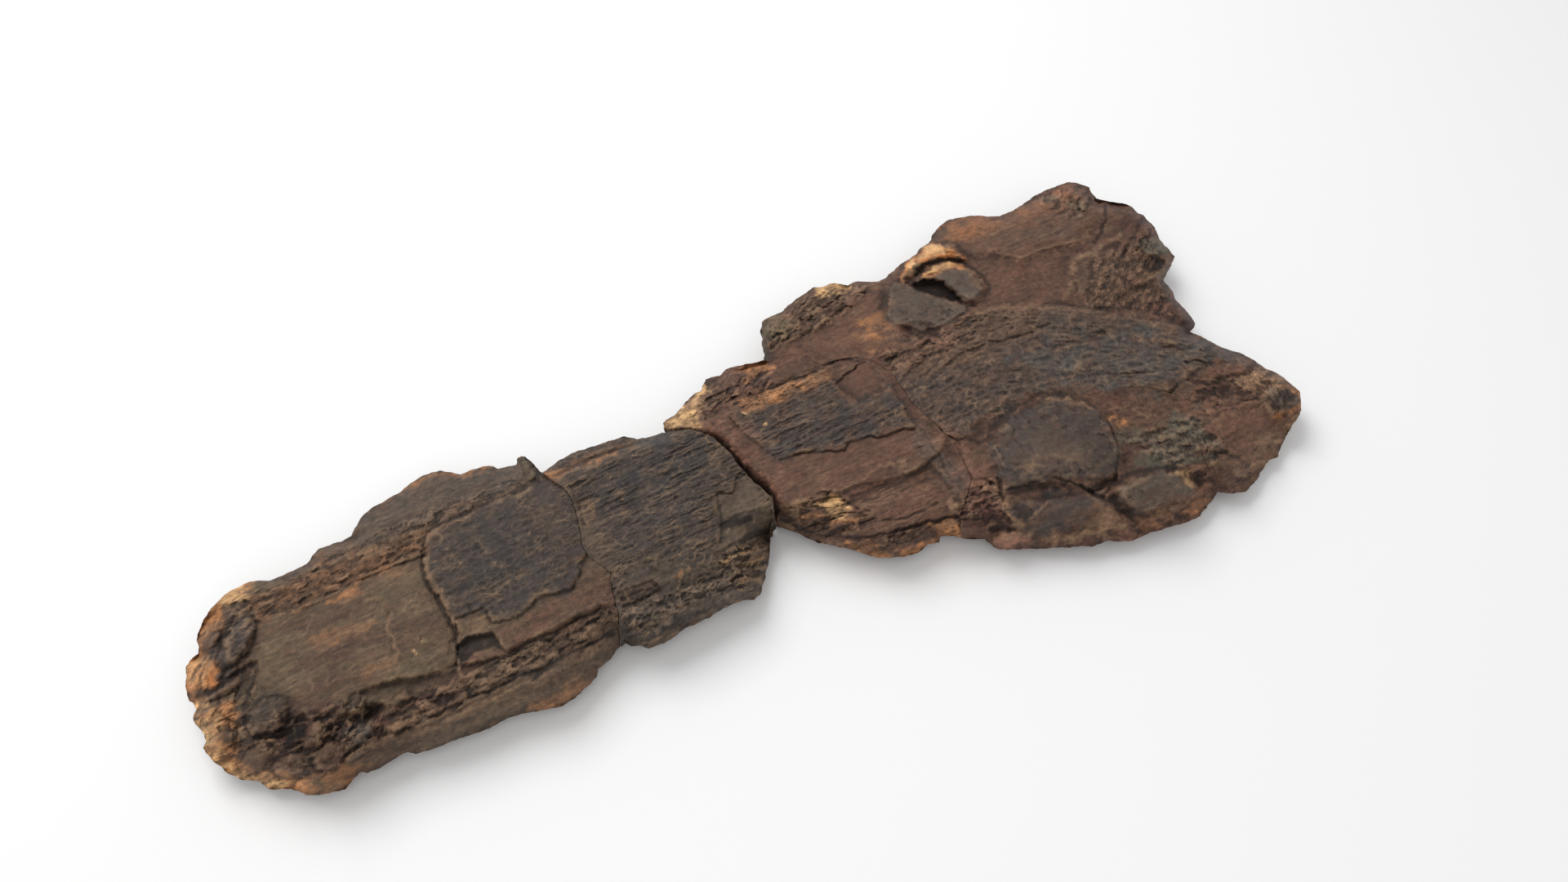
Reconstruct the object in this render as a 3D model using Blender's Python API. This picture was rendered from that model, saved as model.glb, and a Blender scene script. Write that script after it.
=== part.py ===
"""Fossil skull of a long-snouted amphibian lying roof side up on its slab of ironstone, in four fragments.

Every outline and feature is given in millimetres on the level of the skull roof, x from the snout
towards the back of the skull and y across it, as the eye sees it from one viewpoint above the near
side of the snout. place() slides each point along its line of sight to its own height.
"""

import bpy
import numpy as np

MM = 0.001

# Levels above the surface that the slab rests on, in mm
ROOF_LEVEL = 15.0
VIEWPOINT = np.array([54.4, -138.3])
VIEW_HEIGHT = 206.7
CENTRE = np.array([128.05, 1.75])

# Fineness of the solids
SPACING = 1.9
WALL_ROWS = 6
KEPT_SHARE = 0.25
JOIN_GAP = 0.7

# Roughness of the rock, in mm
WALL_ROUGHNESS = 0.55
TOP_ROUGHNESS = 0.18
UNDERSIDE_LUMPS = 1.5

# Flat spots underneath that the fragments rest on: centre and radius
RESTS = [((30, -1), 15), ((97, -1), 11), ((141, -4), 11), ((203, -6), 22)]

# Bed of rock under the bone layers: level along the length, and how much it falls away from the midline
BED_STATIONS = [-12, 0, 8, 42, 118, 140, 165, 200, 230, 265]
BED_LEVELS = [11.4, 12.6, 13.2, 13.4, 13.4, 13.7, 14.0, 14.4, 14.0, 13.0]
BED_CROWN = 0.0006

# Outlines. A flank line has the level of the slab's rim there, and the width over which the top falls to it
TIP_FRONT = [(-6.9, -17.2), (-8.6, -14.2), (-9.6, -11.9), (-10, -10.3), (-9.3, -8.9), (-9.3, -7.5), (-10.3, -5),
             (-10.9, -2.5), (-10, -0.8), (-10.1, 0.8), (-10.9, 1.7), (-11, 4.4), (-10.8, 7.2), (-10.3, 9.7),
             (-9.4, 10.6), (-7.4, 11.4), (-6.9, 13.1), (-7.2, 15), (-6.4, 16.9), (-5, 18.9), (-2.9, 20.6)]
TIP_NEAR = [(-6.9, -17.2), (-5, -20), (-1.4, -22.8), (0, -25), (3.9, -26.9), (6.4, -29.9), (9.4, -31.1),
            (13.1, -31.8), (14.7, -30.8), (16.8, -29.9), (17.8, -30.8), (20.6, -30.9), (25.8, -30.2),
            (27.5, -31.4), (31.1, -32.1), (36, -32.4), (41.7, -33), (47, -32.8), (50, -33.6), (54.2, -35),
            (57, -35.4), (60, -34.9), (63.3, -33.9), (65.3, -32.9), (66.9, -31.3), (69.7, -30.4), (71.4, -29.3),
            (72.8, -28.6)]
TIP_FAR_FORWARD = [(-2.9, 20.6), (-3.2, 21.9), (-1.7, 23.1), (0, 24.3), (5, 25), (7.5, 24.4), (9.4, 23.2),
                   (12.8, 23.3), (17.8, 23.7), (18.9, 24.4), (20, 25.6), (21.1, 26.5), (26, 26.1), (28.9, 26.5)]
TIP_FAR_FLANK = [(28.9, 26.5), (30, 28.3), (31.4, 30), (32.5, 31.1), (35, 32.1), (37.2, 32.4), (40, 33.1),
                 (42.2, 33.6), (45, 34.9), (46.7, 35.4), (50.3, 35.7), (51.9, 35.3), (54.2, 33.6), (56.1, 31.9),
                 (60, 31.7), (62.2, 31.4), (64, 30.6), (64.7, 29.3), (69, 28.5), (70.1, 30.1), (71.1, 30.3),
                 (71.8, 29.7), (72.8, 26.7), (73, 24.7), (73.9, 23.2)]
JOIN_TIP_MIDDLE = [(72.8, -28.6), (73.3, -26.7), (73.9, -24.4), (75.3, -21.7), (75.8, -18.9), (76.4, -15.6),
                   (76.9, -12.2), (77.8, -10.6), (75, -4.4), (75, 0), (76.1, 5.6), (76.9, 8.9), (77.2, 15),
                   (73.9, 23.2)]
MIDDLE_NEAR = [(72.8, -28.6), (74.2, -28.3), (74.7, -29.6), (76.4, -30.1), (77.7, -31.7), (81.7, -32.2),
               (84.2, -31.9), (85.8, -31.1), (92.5, -31.1), (96.3, -30.3), (100.6, -30.6), (103.4, -31.6),
               (105, -31.1), (106.4, -30), (108.8, -26.9), (110.6, -24.4), (112.6, -20.6), (113.4, -16.9),
               (115.3, -16.4)]
MIDDLE_FAR = [(73.9, 23.2), (76.4, 23.9), (78.6, 24.6), (82.2, 25.4), (83.9, 25.6), (85.6, 24.9), (90.6, 24.7),
              (95.6, 24.1), (97.5, 22.2), (100, 21.3), (104.4, 20.9)]
MIDDLE_REAR = [(115.3, -16.4), (116.9, -15), (118, -12.5), (119.4, -9.1), (118.8, -6.6), (117.8, -3.8),
               (117.2, 0), (116.6, 2.5), (116.6, 6.3), (115.9, 9.4), (115, 12.5), (114.1, 15), (112.5, 16.9),
               (110.6, 18.8), (108.1, 19.6), (104.4, 20.9)]
FACE_FRONT = [(117.2, -16.4), (118.6, -14.8), (120.4, -13.6), (121.6, -11.6), (122.2, -8.8), (121.9, -5),
              (120.6, -3.1), (119.9, 0), (119.7, 3.8), (118.6, 7.5), (118.3, 10.6), (117.4, 13.8), (116, 15.6),
              (114.3, 17.4), (111.8, 19.9), (108.4, 20.8), (105.2, 21.7)]
FACE_NEAR = [(117.2, -16.4), (118.1, -17.8), (120, -20.6), (121.9, -23.8), (124.4, -26.6), (127.5, -29.4),
             (130, -31.9), (133.1, -35.3), (136.3, -37), (138.8, -37.7), (141.9, -38.2), (145, -37.4),
             (147.5, -38), (148.8, -37), (151.3, -38.1), (153.1, -39.8)]
FACE_FAR = [(105.2, 21.7), (105.6, 23.8), (110, 25), (113.1, 26.9), (116.6, 28.6), (118.8, 29.1), (120, 30.9),
            (121.3, 31.9), (125, 31.4), (126.9, 32.2), (129.1, 32.4), (130.8, 32), (130.9, 30.5), (136.3, 30.1),
            (137.2, 29.7)]
JOIN_FACE_BACK = [(153.1, -39.8), (154, -37), (156.3, -33.8), (161, -30), (164.5, -26), (165.3, -22),
                  (167.2, -15), (165.9, -11.9), (165.9, -7.5), (165, -4.4), (164.4, 0.6), (164.7, 5), (165, 10),
                  (164.1, 14.4), (162.5, 17.5), (160, 20.1), (156.3, 21.6), (150, 22.2), (149.1, 25),
                  (147.5, 27.5), (145, 29.3), (137.2, 29.7)]
BACK_NEAR = [(153.1, -39.8), (157.5, -42.5), (157.8, -45), (158.8, -46.5), (161.5, -47.8), (165, -49.3),
             (167.5, -50.8), (172.5, -52.8), (176, -54.3), (178, -55.5), (182, -56), (184, -57.3), (187, -58.4),
             (191.5, -58.7), (195, -59.4), (200, -60.1), (205.3, -60.6), (208, -59.4), (211, -58.5),
             (213.4, -57.2), (215, -58.3), (217, -59.5), (220, -60), (225, -58.6), (228.3, -56.9),
             (231.5, -55.9), (233.8, -55.8), (237, -53.9), (240, -52.3), (243, -49.9)]
BACK_WING_REAR = [(243, -49.9), (245, -48.8), (247.5, -48.2), (250.3, -47.3), (252, -45.3), (253.8, -43),
                  (254.1, -40), (253.3, -35.3), (252, -33), (251, -29), (249.8, -25.5), (248, -23.5),
                  (246.5, -20.5), (244.8, -16.5), (243.3, -13.4)]
BACK_OCCIPUT = [(243.3, -13.4), (245.5, -12.5), (246.5, -12), (247.4, -10), (248, -4), (248.1, -2),
                (249.3, 0.5), (250, 3), (249.9, 5), (251, 6), (254, 7.8), (257, 9.8), (259.4, 11.5)]
BACK_FAR_REAR = [(259.4, 11.5), (260, 16.5), (260.8, 19.5), (262, 22.5), (262.8, 25.5), (262.8, 28),
                 (263.4, 29.9), (262.6, 31), (262.3, 33), (262.5, 34.8), (260, 36.5), (258, 38.5),
                 (256.8, 40.2), (254.9, 40.4), (255, 41.5), (256, 43.3), (256, 45), (256.9, 47.5)]
BACK_SHOULDER = [(137.2, 29.7), (138.4, 31.9), (140, 36.6), (141.9, 40.6), (143.4, 43.1), (145, 43.9)]
BACK_FAR = [(145, 43.9), (150, 44.1), (152.5, 45.5), (156.3, 46.9), (160.5, 48), (162.5, 48.3), (165, 47.6),
            (167, 47.9), (168.5, 47.4), (169.6, 45.5), (169.9, 43.8), (172, 44.8), (173.8, 45.2),
            (175.5, 44.3), (177.3, 43.1), (179.5, 42.1), (182, 42.5), (185, 43.8), (190, 45.6), (195, 46.7),
            (196.5, 48), (198.5, 48.9), (200.3, 48.9), (201.8, 50), (203.5, 51.5), (205, 52.5), (208, 54.1),
            (211.5, 54.8), (215, 54.1), (218, 53.3), (220, 52.3), (222, 50.8), (225, 49.6), (230, 49.3),
            (235, 50.5), (240, 52), (243.5, 52.5), (248, 52.6), (253, 52.5), (254.5, 51.3), (255.8, 50),
            (256.9, 47.5)]

# Bone layers and flakes: outline, how far it stands above what is round it, and the width of its edge
SNOUT_LAYER = [(45, 19.4), (43.3, 16.7), (41.9, 14.4), (41, 10), (41.1, 6.7), (41.7, 2.2), (41.9, -1.1),
               (42.5, -5.6), (43.1, -9.4), (42.2, -11.1), (41.9, -13.9), (40.8, -16.7), (50, -18.6), (62, -18.2),
               (76, -18), (86, -19.5), (100, -20), (110, -16), (126, -14), (126, 19), (110, 19), (90, 20.5),
               (60, 20.5)]
SNOUT_FLAKE = [(45, 19.4), (43.3, 16.7), (41.9, 14.4), (41, 10), (41.1, 6.7), (41.7, 2.2), (42, -1.1),
               (43.6, -5.3), (49.7, -5.3), (49.6, -7.8), (50.3, -10), (53.3, -10.8), (56.1, -11.4), (58.9, -10),
               (61.7, -8.3), (64.4, -9.2), (68.3, -10.3), (70.8, -9.4), (71.7, -7.8), (71.9, -5.3),
               (73.9, -3.9), (75.6, -2.2), (80, -8), (92, -15), (104, -16), (107.5, -4.4), (111.9, -3.8),
               (114.1, 0.6), (126, 1), (126, 19), (90, 20.5), (60, 20.5)]
SNOUT_FACET = [(40.8, -16.4), (43.3, -11.7), (45.6, -10.6), (48.6, -11.7), (49.7, -15.6), (50, -18.9)]
TIP_HOLLOW = [(21, -13.6), (25.6, -13.6), (29.4, -14.5), (35, -16.1), (40, -17.4), (40, -21), (37, -24),
              (30, -24), (24, -23), (20.5, -19)]
FACE_ROOF = [(113, 19.5), (115, 8), (117, -12), (121.3, -13.6), (127.5, -15), (139.4, -15.6), (145, -17.8),
             (155, -18.6), (163.8, -15.6), (166, -8), (165, 10), (162, 18), (150, 20.6), (127, 21)]
FACE_BONE = [(116, 19), (118, 0.6), (130, -0.5), (133.8, -1.3), (137.5, -2.5), (140, -4.3), (141.6, -4.7),
             (143.1, -3.4), (149.4, -3.6), (150.6, -5.3), (156.3, -5.6), (160.6, -7.2), (162, 0), (162, 7),
             (156.3, 6.9), (152.5, 5.9), (150.3, 14.4), (148, 20.5), (135, 21)]
FACE_LOWER = [(136, -17), (150, -19), (158, -18), (159, -30), (152, -33), (140, -31), (134, -27)]
SKULL_ROOF = [(166, 9), (166, -8), (170, -15), (176, -14), (193, -12), (203, -16), (210, -20), (224, -27),
              (240, -30), (251, -30), (246, -18), (243.3, -13.4), (242, -10.5), (239.5, -7), (235, -4.5),
              (230, 1), (225.5, 5), (220, 10), (215, 13), (207, 17), (196, 19), (182, 16), (172, 13)]
OCCIPITAL_STEP = [(243.5, -14), (240, -5), (234, 1), (231, 5), (240, 7), (252, 7), (254, 0), (252, -14)]
FAR_REAR_PLATE = [(200, 45), (205, 50.5), (211, 53), (218, 51.5), (228, 48), (240, 50), (252, 50.5),
                  (254, 46), (253, 36), (245, 32), (239.5, 29.8), (231.5, 31.3), (227, 32.6), (225, 31.8),
                  (220.5, 31.4), (218, 33.5), (215.8, 36), (209, 40)]
CHEEK = [(151, 24), (158, 21), (166, 20), (176, 18), (175, 30), (181, 40), (176, 41), (166, 36), (155, 34),
         (148, 31)]
NEAR_PANEL_HOLLOW = [(169.5, -34.8), (176, -34.8), (181.5, -36.8), (186, -41.2), (194, -42.8), (189, -44.2),
                     (182, -42.5), (175, -39.5), (171, -37.5)]
NEAR_REAR_PLATE = [(225, -40), (236, -38), (243, -40), (245, -47), (238, -51), (228, -54.5), (224, -50)]
ORBIT_LEAF = [(183.5, 39.5), (180, 37), (175, 30), (174.8, 25.5), (177, 23.5), (180, 20.5), (184.5, 19.5),
              (189, 20), (195, 21.5), (196, 22.8), (194.5, 25.5), (190, 29.5), (187.5, 35), (186, 37.5)]
ORBIT_SLIT = [(187, 36.8), (191, 36.8), (195, 33.5), (195.8, 25), (193, 27), (189.5, 31), (187.5, 35)]
NEAR_ORBIT = [(172, -24), (177, -18.5), (185, -15), (193, -14), (200, -17), (203.5, -23), (203.5, -32),
              (201, -37), (197, -41.5), (189, -41), (183, -36.5), (176, -34.3), (170, -33.5)]
LAYERS = [
    (SNOUT_LAYER, 1.3, 0.9), (SNOUT_FLAKE, 0.5, 0.8), (SNOUT_FACET, -1.3, 1.6), (TIP_HOLLOW, -2.2, 1.6),
    (FACE_ROOF, 0.8, 1.0), (FACE_BONE, 0.7, 0.9), (FACE_LOWER, -0.6, 2.0), (SKULL_ROOF, 0.9, 1.2),
    (OCCIPITAL_STEP, -2.4, 1.2), (FAR_REAR_PLATE, 1.4, 2.5), (CHEEK, -0.9, 5.0), (NEAR_PANEL_HOLLOW, -2.0, 1.6),
    (NEAR_REAR_PLATE, 0.7, 1.2), (ORBIT_LEAF, 0.8, 1.6), (ORBIT_SLIT, -3.2, 1.6), (NEAR_ORBIT, 2.4, 5.0),
]

# Rounded lumps and hollows: centre, half lengths, turn in degrees, height
MOUNDS = [
    ((0.3, 10.6), (6.4, 3.0), 52, 2.2), ((2.8, -9.4), (4.4, 4.0), 0, 2.3), ((10.6, -17.8), (2.8, 2.6), 0, 1.8),
    ((11.9, -23.6), (3.1, 2.6), 0, 1.8), ((-5, 14), (2.6, 2.2), 0, 1.3), ((-5, 1.4), (4.5, 2.0), 0, 1.2),
    ((-6.8, -10.6), (3.0, 2.2), 0, 1.3), ((-1, -17.5), (3.2, 2.6), 20, 1.4), ((4.5, -22), (3.0, 2.4), 0, 1.2),
    ((19, -18.6), (6.0, 2.6), 0, -2.0), ((6, -14), (4.0, 3.0), 30, -1.2), ((71.6, 26.2), (1.8, 4.2), -8, 2.2),
    ((190, 31.5), (17.5, 12.5), 0, -1.8), ((199.4, 31.6), (5.6, 9.2), 8, 3.6), ((180, 20.5), (6, 3.5), -30, -1.4),
    ((201, -51.5), (11.5, 6.5), 0, 2.4), ((214.6, -51.8), (3.2, 4.0), 0, -2.6), ((220, -53.4), (5.6, 4.6), 0, 1.8),
    ((162, -41.6), (3.2, 2.2), 0, -2.2), ((248.4, -42.9), (5.4, 3.0), 8, -1.6), ((223, 22), (13, 9), 20, -1.3),
    ((252, 12), (4.6, 3.2), 30, -2.8), ((236, -33.6), (4.0, 2.4), 0, -1.0), ((161.5, -13), (3.2, 8.0), -4, 0.6),
]

# Raised rims and cracks: line, half width, height
LINES = [
    ([(186, 40), (189.5, 43), (193, 45), (197, 46), (201.5, 45.8), (205, 43.8), (206.5, 40.5)], 2.6, 3.0),
    ([(190.5, 39.6), (193.5, 41.5), (199, 42), (203.5, 40), (205.6, 36.5), (206, 31)], 1.1, -2.0),
    ([(187.5, 20), (198, 22.3), (201.5, 24.3), (205.3, 26), (206, 31)], 1.0, -1.2),
    ([(221.5, 12.5), (226, 16), (229, 18.5), (232, 22.5), (235, 24), (240, 23.3), (246.5, 25.5), (251, 25)],
     1.6, 1.1),
    ([(169.5, -34.5), (176, -34.5), (181.5, -36.5), (186, -41), (194, -42.5)], 0.9, -1.0),
    ([(203.6, -24), (203, -33), (195, -42.3)], 1.0, -1.0),
    ([(50, -18.4), (62, -18), (75, -17.6)], 0.9, -0.8),
    ([(25, -25.4), (40, -25), (58, -25.3), (72, -24.8)], 0.9, -1.0),
    ([(127.5, -15), (139.4, -15.6), (145, -17.8), (155, -18.6), (163.8, -15.6)], 0.9, -0.7),
    ([(226.5, 5.5), (231, 3.5), (234, 0.5)], 1.0, -1.2),
    ([(166, -8), (167.5, -15), (165.3, -22), (164.5, -26)], 0.8, -0.7),
    ([(187, -42.3), (188.4, -46.5)], 0.8, -1.0),
    ([(232.5, -30), (241, -30.5), (246.5, -32.5), (250.5, -30.3)], 0.8, -0.8),
    ([(150.6, 21.9), (160.6, 20.6)], 0.9, -0.8),
    ([(242.5, -44.5), (244.5, -40.8), (249.5, -39.8), (253, -41)], 1.1, 0.9),
]

# Broken, chippy areas that are rougher than the rest: outline, and the size and height of their lumps
CHIPPY = [
    ([(5, 12.5), (42, 13.5), (46, 20), (74, 21), (74, 25), (28, 25), (-6, 22), (-8, 12)], 4.0, 0.8),
    ([(-11, -6), (-1, -4), (8, -12), (26, -19), (76, -18.5), (76, -25), (26, -26), (5, -28), (-8, -19)], 4.2, 1.1),
    ([(76, -20), (100, -21), (113, -16), (112, -27), (100, -31), (78, -31)], 4.0, 0.9),
    ([(118, -13), (134, -13), (138, -26), (126, -28), (120, -20)], 4.0, 0.9),
    ([(124, -27), (140, -31), (156, -34), (160, -41), (150, -38), (134, -36)], 3.5, 0.8),
    ([(140, 32), (165, 35), (178, 42), (168, 48), (145, 44)], 4.0, 1.0),
    ([(164, 20), (166, 9), (187, 12), (200, 16), (196, 20), (180, 17)], 4.0, 0.6),
    ([(224, 7), (236, 21), (256, 24), (262, 33), (262, 20), (254, 8), (244, -11), (234, 1)], 4.5, 1.1),
    ([(204, -34), (225, -36), (226, -48), (218, -58), (212, -58), (208, -46)], 4.2, 0.9),
    ([(104, 21), (122, 22), (136, 22), (137, 29), (121, 31), (106, 24)], 4.2, 0.7),
    ([(157, -30), (169, -28), (168, -41), (160, -40), (155, -36)], 3.0, 0.7),
]

# Looks of the plain solids: linear colour for each fragment
COLOURS = {
    "snout_tip": (0.130, 0.089, 0.061),
    "snout_middle": (0.107, 0.081, 0.058),
    "face": (0.139, 0.076, 0.055),
    "skull_back": (0.102, 0.065, 0.053),
}


def lattice_value(ix, iy, seed):
    """A repeatable value from 0 to 1 for each point of a whole-numbered lattice."""
    mixed = (ix * 374761393 + iy * 668265263 + seed * 974634777) & 0xFFFFFFFF
    mixed = ((mixed ^ (mixed >> 13)) * 1274126177) & 0xFFFFFFFF
    return (mixed ^ (mixed >> 16)) / 0xFFFFFFFF


def lumps(x, y, size, seed):
    """Smooth random relief from -1 to 1, with lumps about size mm across."""
    gx, gy = x / size, y / size
    ix, iy = np.floor(gx).astype(np.int64), np.floor(gy).astype(np.int64)
    fx, fy = gx - ix, gy - iy
    fx, fy = fx * fx * (3 - 2 * fx), fy * fy * (3 - 2 * fy)
    low = lattice_value(ix, iy, seed) * (1 - fx) + lattice_value(ix + 1, iy, seed) * fx
    high = lattice_value(ix, iy + 1, seed) * (1 - fx) + lattice_value(ix + 1, iy + 1, seed) * fx
    return 2 * (low * (1 - fy) + high * fy) - 1


def smooth_step(t):
    """From 0 to 1 with level ends, as t goes from 0 to 1."""
    t = np.clip(t, 0, 1)
    return t * t * (3 - 2 * t)


def distance_to(x, y, line):
    """Distance from each point to a line of straight runs."""
    nearest = np.full(x.shape, 1e9)
    for (ax, ay), (bx, by) in zip(line[:-1], line[1:]):
        run = max((bx - ax) ** 2 + (by - ay) ** 2, 1e-9)
        t = np.clip(((x - ax) * (bx - ax) + (y - ay) * (by - ay)) / run, 0, 1)
        nearest = np.minimum(nearest, np.hypot(x - ax - t * (bx - ax), y - ay - t * (by - ay)))
    return nearest


def depth_inside(x, y, outline):
    """Distance to a closed outline, positive inside it and negative outside."""
    inside = np.zeros(x.shape, bool)
    loop = list(outline) + [outline[0]]
    for (ax, ay), (bx, by) in zip(loop[:-1], loop[1:]):
        if ay != by:
            crosses = ((ay > y) != (by > y)) & (x < ax + (y - ay) * (bx - ax) / (by - ay))
            inside ^= crosses
    return np.where(inside, 1, -1) * distance_to(x, y, loop)


def bed_level(x, y):
    """The rock under the bone: its level along the length, falling off either side of the midline."""
    return np.interp(x, BED_STATIONS, BED_LEVELS) - BED_CROWN * y * y


def relief(x, y):
    """Everything that stands on the bed or is sunk in it."""
    height = np.zeros(x.shape)
    for outline, rise, edge in LAYERS:
        height += rise * smooth_step(0.5 + depth_inside(x, y, outline) / edge)
    for (cx, cy), (half_length, half_width), turn, rise in MOUNDS:
        c, s = np.cos(np.radians(turn)), np.sin(np.radians(turn))
        along, across = (x - cx) * c + (y - cy) * s, (y - cy) * c - (x - cx) * s
        reach = 1 - (along / half_length) ** 2 - (across / half_width) ** 2
        height += rise * smooth_step(reach) * 0.5 + rise * np.sqrt(np.clip(reach, 0, 1)) * 0.5
    for line, half_width, rise in LINES:
        height += rise * np.exp(-((distance_to(x, y, line) / half_width) ** 2))
    for number, (outline, size, rise) in enumerate(CHIPPY):
        share = smooth_step(0.5 + depth_inside(x, y, outline) / 3)
        height += share * rise * (lumps(x, y, size, 40 + number) + 0.5 * lumps(x, y, size / 2, 60 + number))
    height += TOP_ROUGHNESS * (lumps(x, y, 9, 1) + lumps(x, y, 4, 2))
    return height


def top_level(x, y, flanks):
    """Level of the top, which falls to the rim's level over each flank's width."""
    level = bed_level(x, y) + relief(x, y)
    for line, rim_level, width in flanks:
        falling = (1 - np.clip(distance_to(x, y, line) / width, 0, 1)) ** 2
        level += (rim_level - level) * falling
    return level


def place(seen, level):
    """Moves points seen on the roof's level along their lines of sight to their own level."""
    reach = 1 + (ROOF_LEVEL - level)[..., None] / VIEW_HEIGHT
    return VIEWPOINT + (seen - VIEWPOINT) * reach


def even_points(line, count):
    """This many points evenly spaced along a line of straight runs."""
    line = np.array(line, float)
    along = np.append(0, np.cumsum(np.hypot(*np.diff(line, axis=0).T)))
    wanted = np.linspace(0, along[-1], count)
    return np.stack([np.interp(wanted, along, line[:, k]) for k in (0, 1)], axis=-1)


def patch(front, rear, near, far):
    """Grid between four edges: their straight blends both ways, less the blend of the corners."""
    u = np.linspace(0, 1, len(near))[:, None, None]
    v = np.linspace(0, 1, len(front))[None, :, None]
    along = (1 - v) * near[:, None] + v * far[:, None]
    across = (1 - u) * front[None] + u * rear[None]
    corners = (1 - v) * ((1 - u) * near[0] + u * near[-1]) + v * ((1 - u) * far[0] + u * far[-1])
    return along + across - corners


def rim(grid):
    """The edge of a grid, once round anticlockwise."""
    return np.concatenate([grid[:-1, 0], grid[-1, :-1], grid[:0:-1, -1], grid[0, :0:-1]])


def beside(line, step):
    """A join line moved square to itself, towards the back of the skull."""
    points = np.array(line, float)
    run = np.gradient(points, axis=0)
    run /= np.hypot(run[:, 0], run[:, 1])[:, None]
    return [tuple(point) for point in points + step * np.stack([run[:, 1], -run[:, 0]], axis=-1)]


def underside(top_seen, margins):
    """Grid of the underside, drawn in from the rim on each side, with flats at zero and shallow hollows."""
    rows, columns = top_seen.shape[:2]
    near, far, front, rear = margins
    u = front + (1 - front - rear) * np.linspace(0, 1, rows)
    v = near + (1 - near - far) * np.linspace(0, 1, columns)
    at_u, at_v = u * (rows - 1), v * (columns - 1)
    iu, iv = np.minimum(at_u.astype(int), rows - 2), np.minimum(at_v.astype(int), columns - 2)
    fu, fv = (at_u - iu)[:, None, None], (at_v - iv)[None, :, None]
    low = top_seen[iu][:, iv] * (1 - fv) + top_seen[iu][:, iv + 1] * fv
    high = top_seen[iu + 1][:, iv] * (1 - fv) + top_seen[iu + 1][:, iv + 1] * fv
    plan = low * (1 - fu) + high * fu
    edge = np.minimum.outer(np.minimum(np.arange(rows), np.arange(rows)[::-1]),
                            np.minimum(np.arange(columns), np.arange(columns)[::-1]))
    x, y = plan[..., 0], plan[..., 1]
    hollow = UNDERSIDE_LUMPS * (lumps(x, y, 16, 7) + 0.5 * lumps(x, y, 7, 8) - 0.25)
    for (cx, cy), radius in RESTS:
        hollow *= smooth_step((np.hypot(x - cx, y - cy) - radius) / 6)
    lift = 0.9 * (1 - smooth_step(edge * SPACING / 5.0))
    return plan, np.clip(np.maximum(hollow, 0) + lift, 0, None)


def fragment(name, front, rear, near, far, flanks, margins):
    """One closed solid: the top, a wall all round, and the underside."""
    length = max(np.hypot(*np.diff(np.array(side, float), axis=0).T).sum() for side in (near, far))
    width = max(np.hypot(*np.diff(np.array(side, float), axis=0).T).sum() for side in (front, rear))
    rows, columns = int(length / SPACING) + 1, int(width / SPACING) + 1
    seen = patch(even_points(front, columns), even_points(rear, columns),
                 even_points(near, rows), even_points(far, rows))
    level = top_level(seen[..., 0], seen[..., 1], flanks)
    top = np.dstack([place(seen, level), level])
    smooth_plan = patch(top[0, :, :2], top[-1, :, :2], top[:, 0, :2], top[:, -1, :2])
    plan, base_level = underside(smooth_plan, margins)
    base = np.dstack([plan, base_level])

    rim_top, rim_base = rim(top), rim(base)
    rings = []
    for row in range(1, WALL_ROWS):
        t = row / WALL_ROWS
        inward = 1 - np.cos(t * np.pi / 2)
        down = np.sin(t * np.pi / 2)
        ring = rim_top.copy()
        ring[:, :2] += (rim_base - rim_top)[:, :2] * inward
        ring[:, 2] += (rim_base - rim_top)[:, 2] * down
        rough = WALL_ROUGHNESS * np.sin(np.pi * t) * lumps(ring[:, 0] + ring[:, 1], 3 * ring[:, 2], 5, 11)
        centre = ring[:, :2].mean(axis=0)
        outward = ring[:, :2] - centre
        outward /= np.hypot(outward[:, 0], outward[:, 1])[:, None]
        ring[:, :2] += outward * (rough - WALL_ROUGHNESS * np.sin(np.pi * t))[:, None]
        rings.append(ring)
    return make_solid(name, top, rings, base)


def make_solid(name, top, rings, base):
    """Joins the two grids and the wall's rings into one mesh, centred on the slab's box."""
    rows, columns = top.shape[:2]
    count, around = rows * columns, len(rings[0])
    index = np.arange(count).reshape(rows, columns)
    quads = [
        np.stack([index[:-1, :-1], index[1:, :-1], index[1:, 1:], index[:-1, 1:]], -1).reshape(-1, 4),
    ]
    ring_index = [rim(index)]
    ring_index += [2 * count + around * k + np.arange(around) for k in range(len(rings))]
    ring_index += [count + rim(index)]
    for upper, lower in zip(ring_index[:-1], ring_index[1:]):
        quads.append(np.stack([upper, lower, np.roll(lower, -1), np.roll(upper, -1)], -1))
    under = count + index
    quads.append(np.stack([under[:-1, :-1], under[:-1, 1:], under[1:, 1:], under[1:, :-1]], -1).reshape(-1, 4))
    points = np.concatenate([top.reshape(-1, 3), base.reshape(-1, 3), *rings])
    points[:, :2] -= CENTRE
    mesh = bpy.data.meshes.new(name)
    mesh.from_pydata((points * MM).tolist(), [], np.concatenate(quads).tolist())
    solid = bpy.data.objects.new(name, mesh)
    bpy.context.scene.collection.objects.link(solid)
    fewer = solid.modifiers.new("fewer faces where it is flat", "DECIMATE")
    fewer.ratio = KEPT_SHARE
    fewer.use_collapse_triangulate = True
    mesh.materials.append(rock_material(name))
    return solid


def rock_material(name):
    """Dull ironstone in the fragment's own colour."""
    material = bpy.data.materials.new(name + "_rock")
    material.use_nodes = True
    shader = material.node_tree.nodes["Principled BSDF"]
    shader.inputs["Base Color"].default_value = (*COLOURS[name], 1)
    shader.inputs["Roughness"].default_value = 0.78
    shader.inputs["Metallic"].default_value = 0.0
    return material


def clear_scene():
    for thing in list(bpy.data.objects):
        bpy.data.objects.remove(thing, do_unlink=True)


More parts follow.
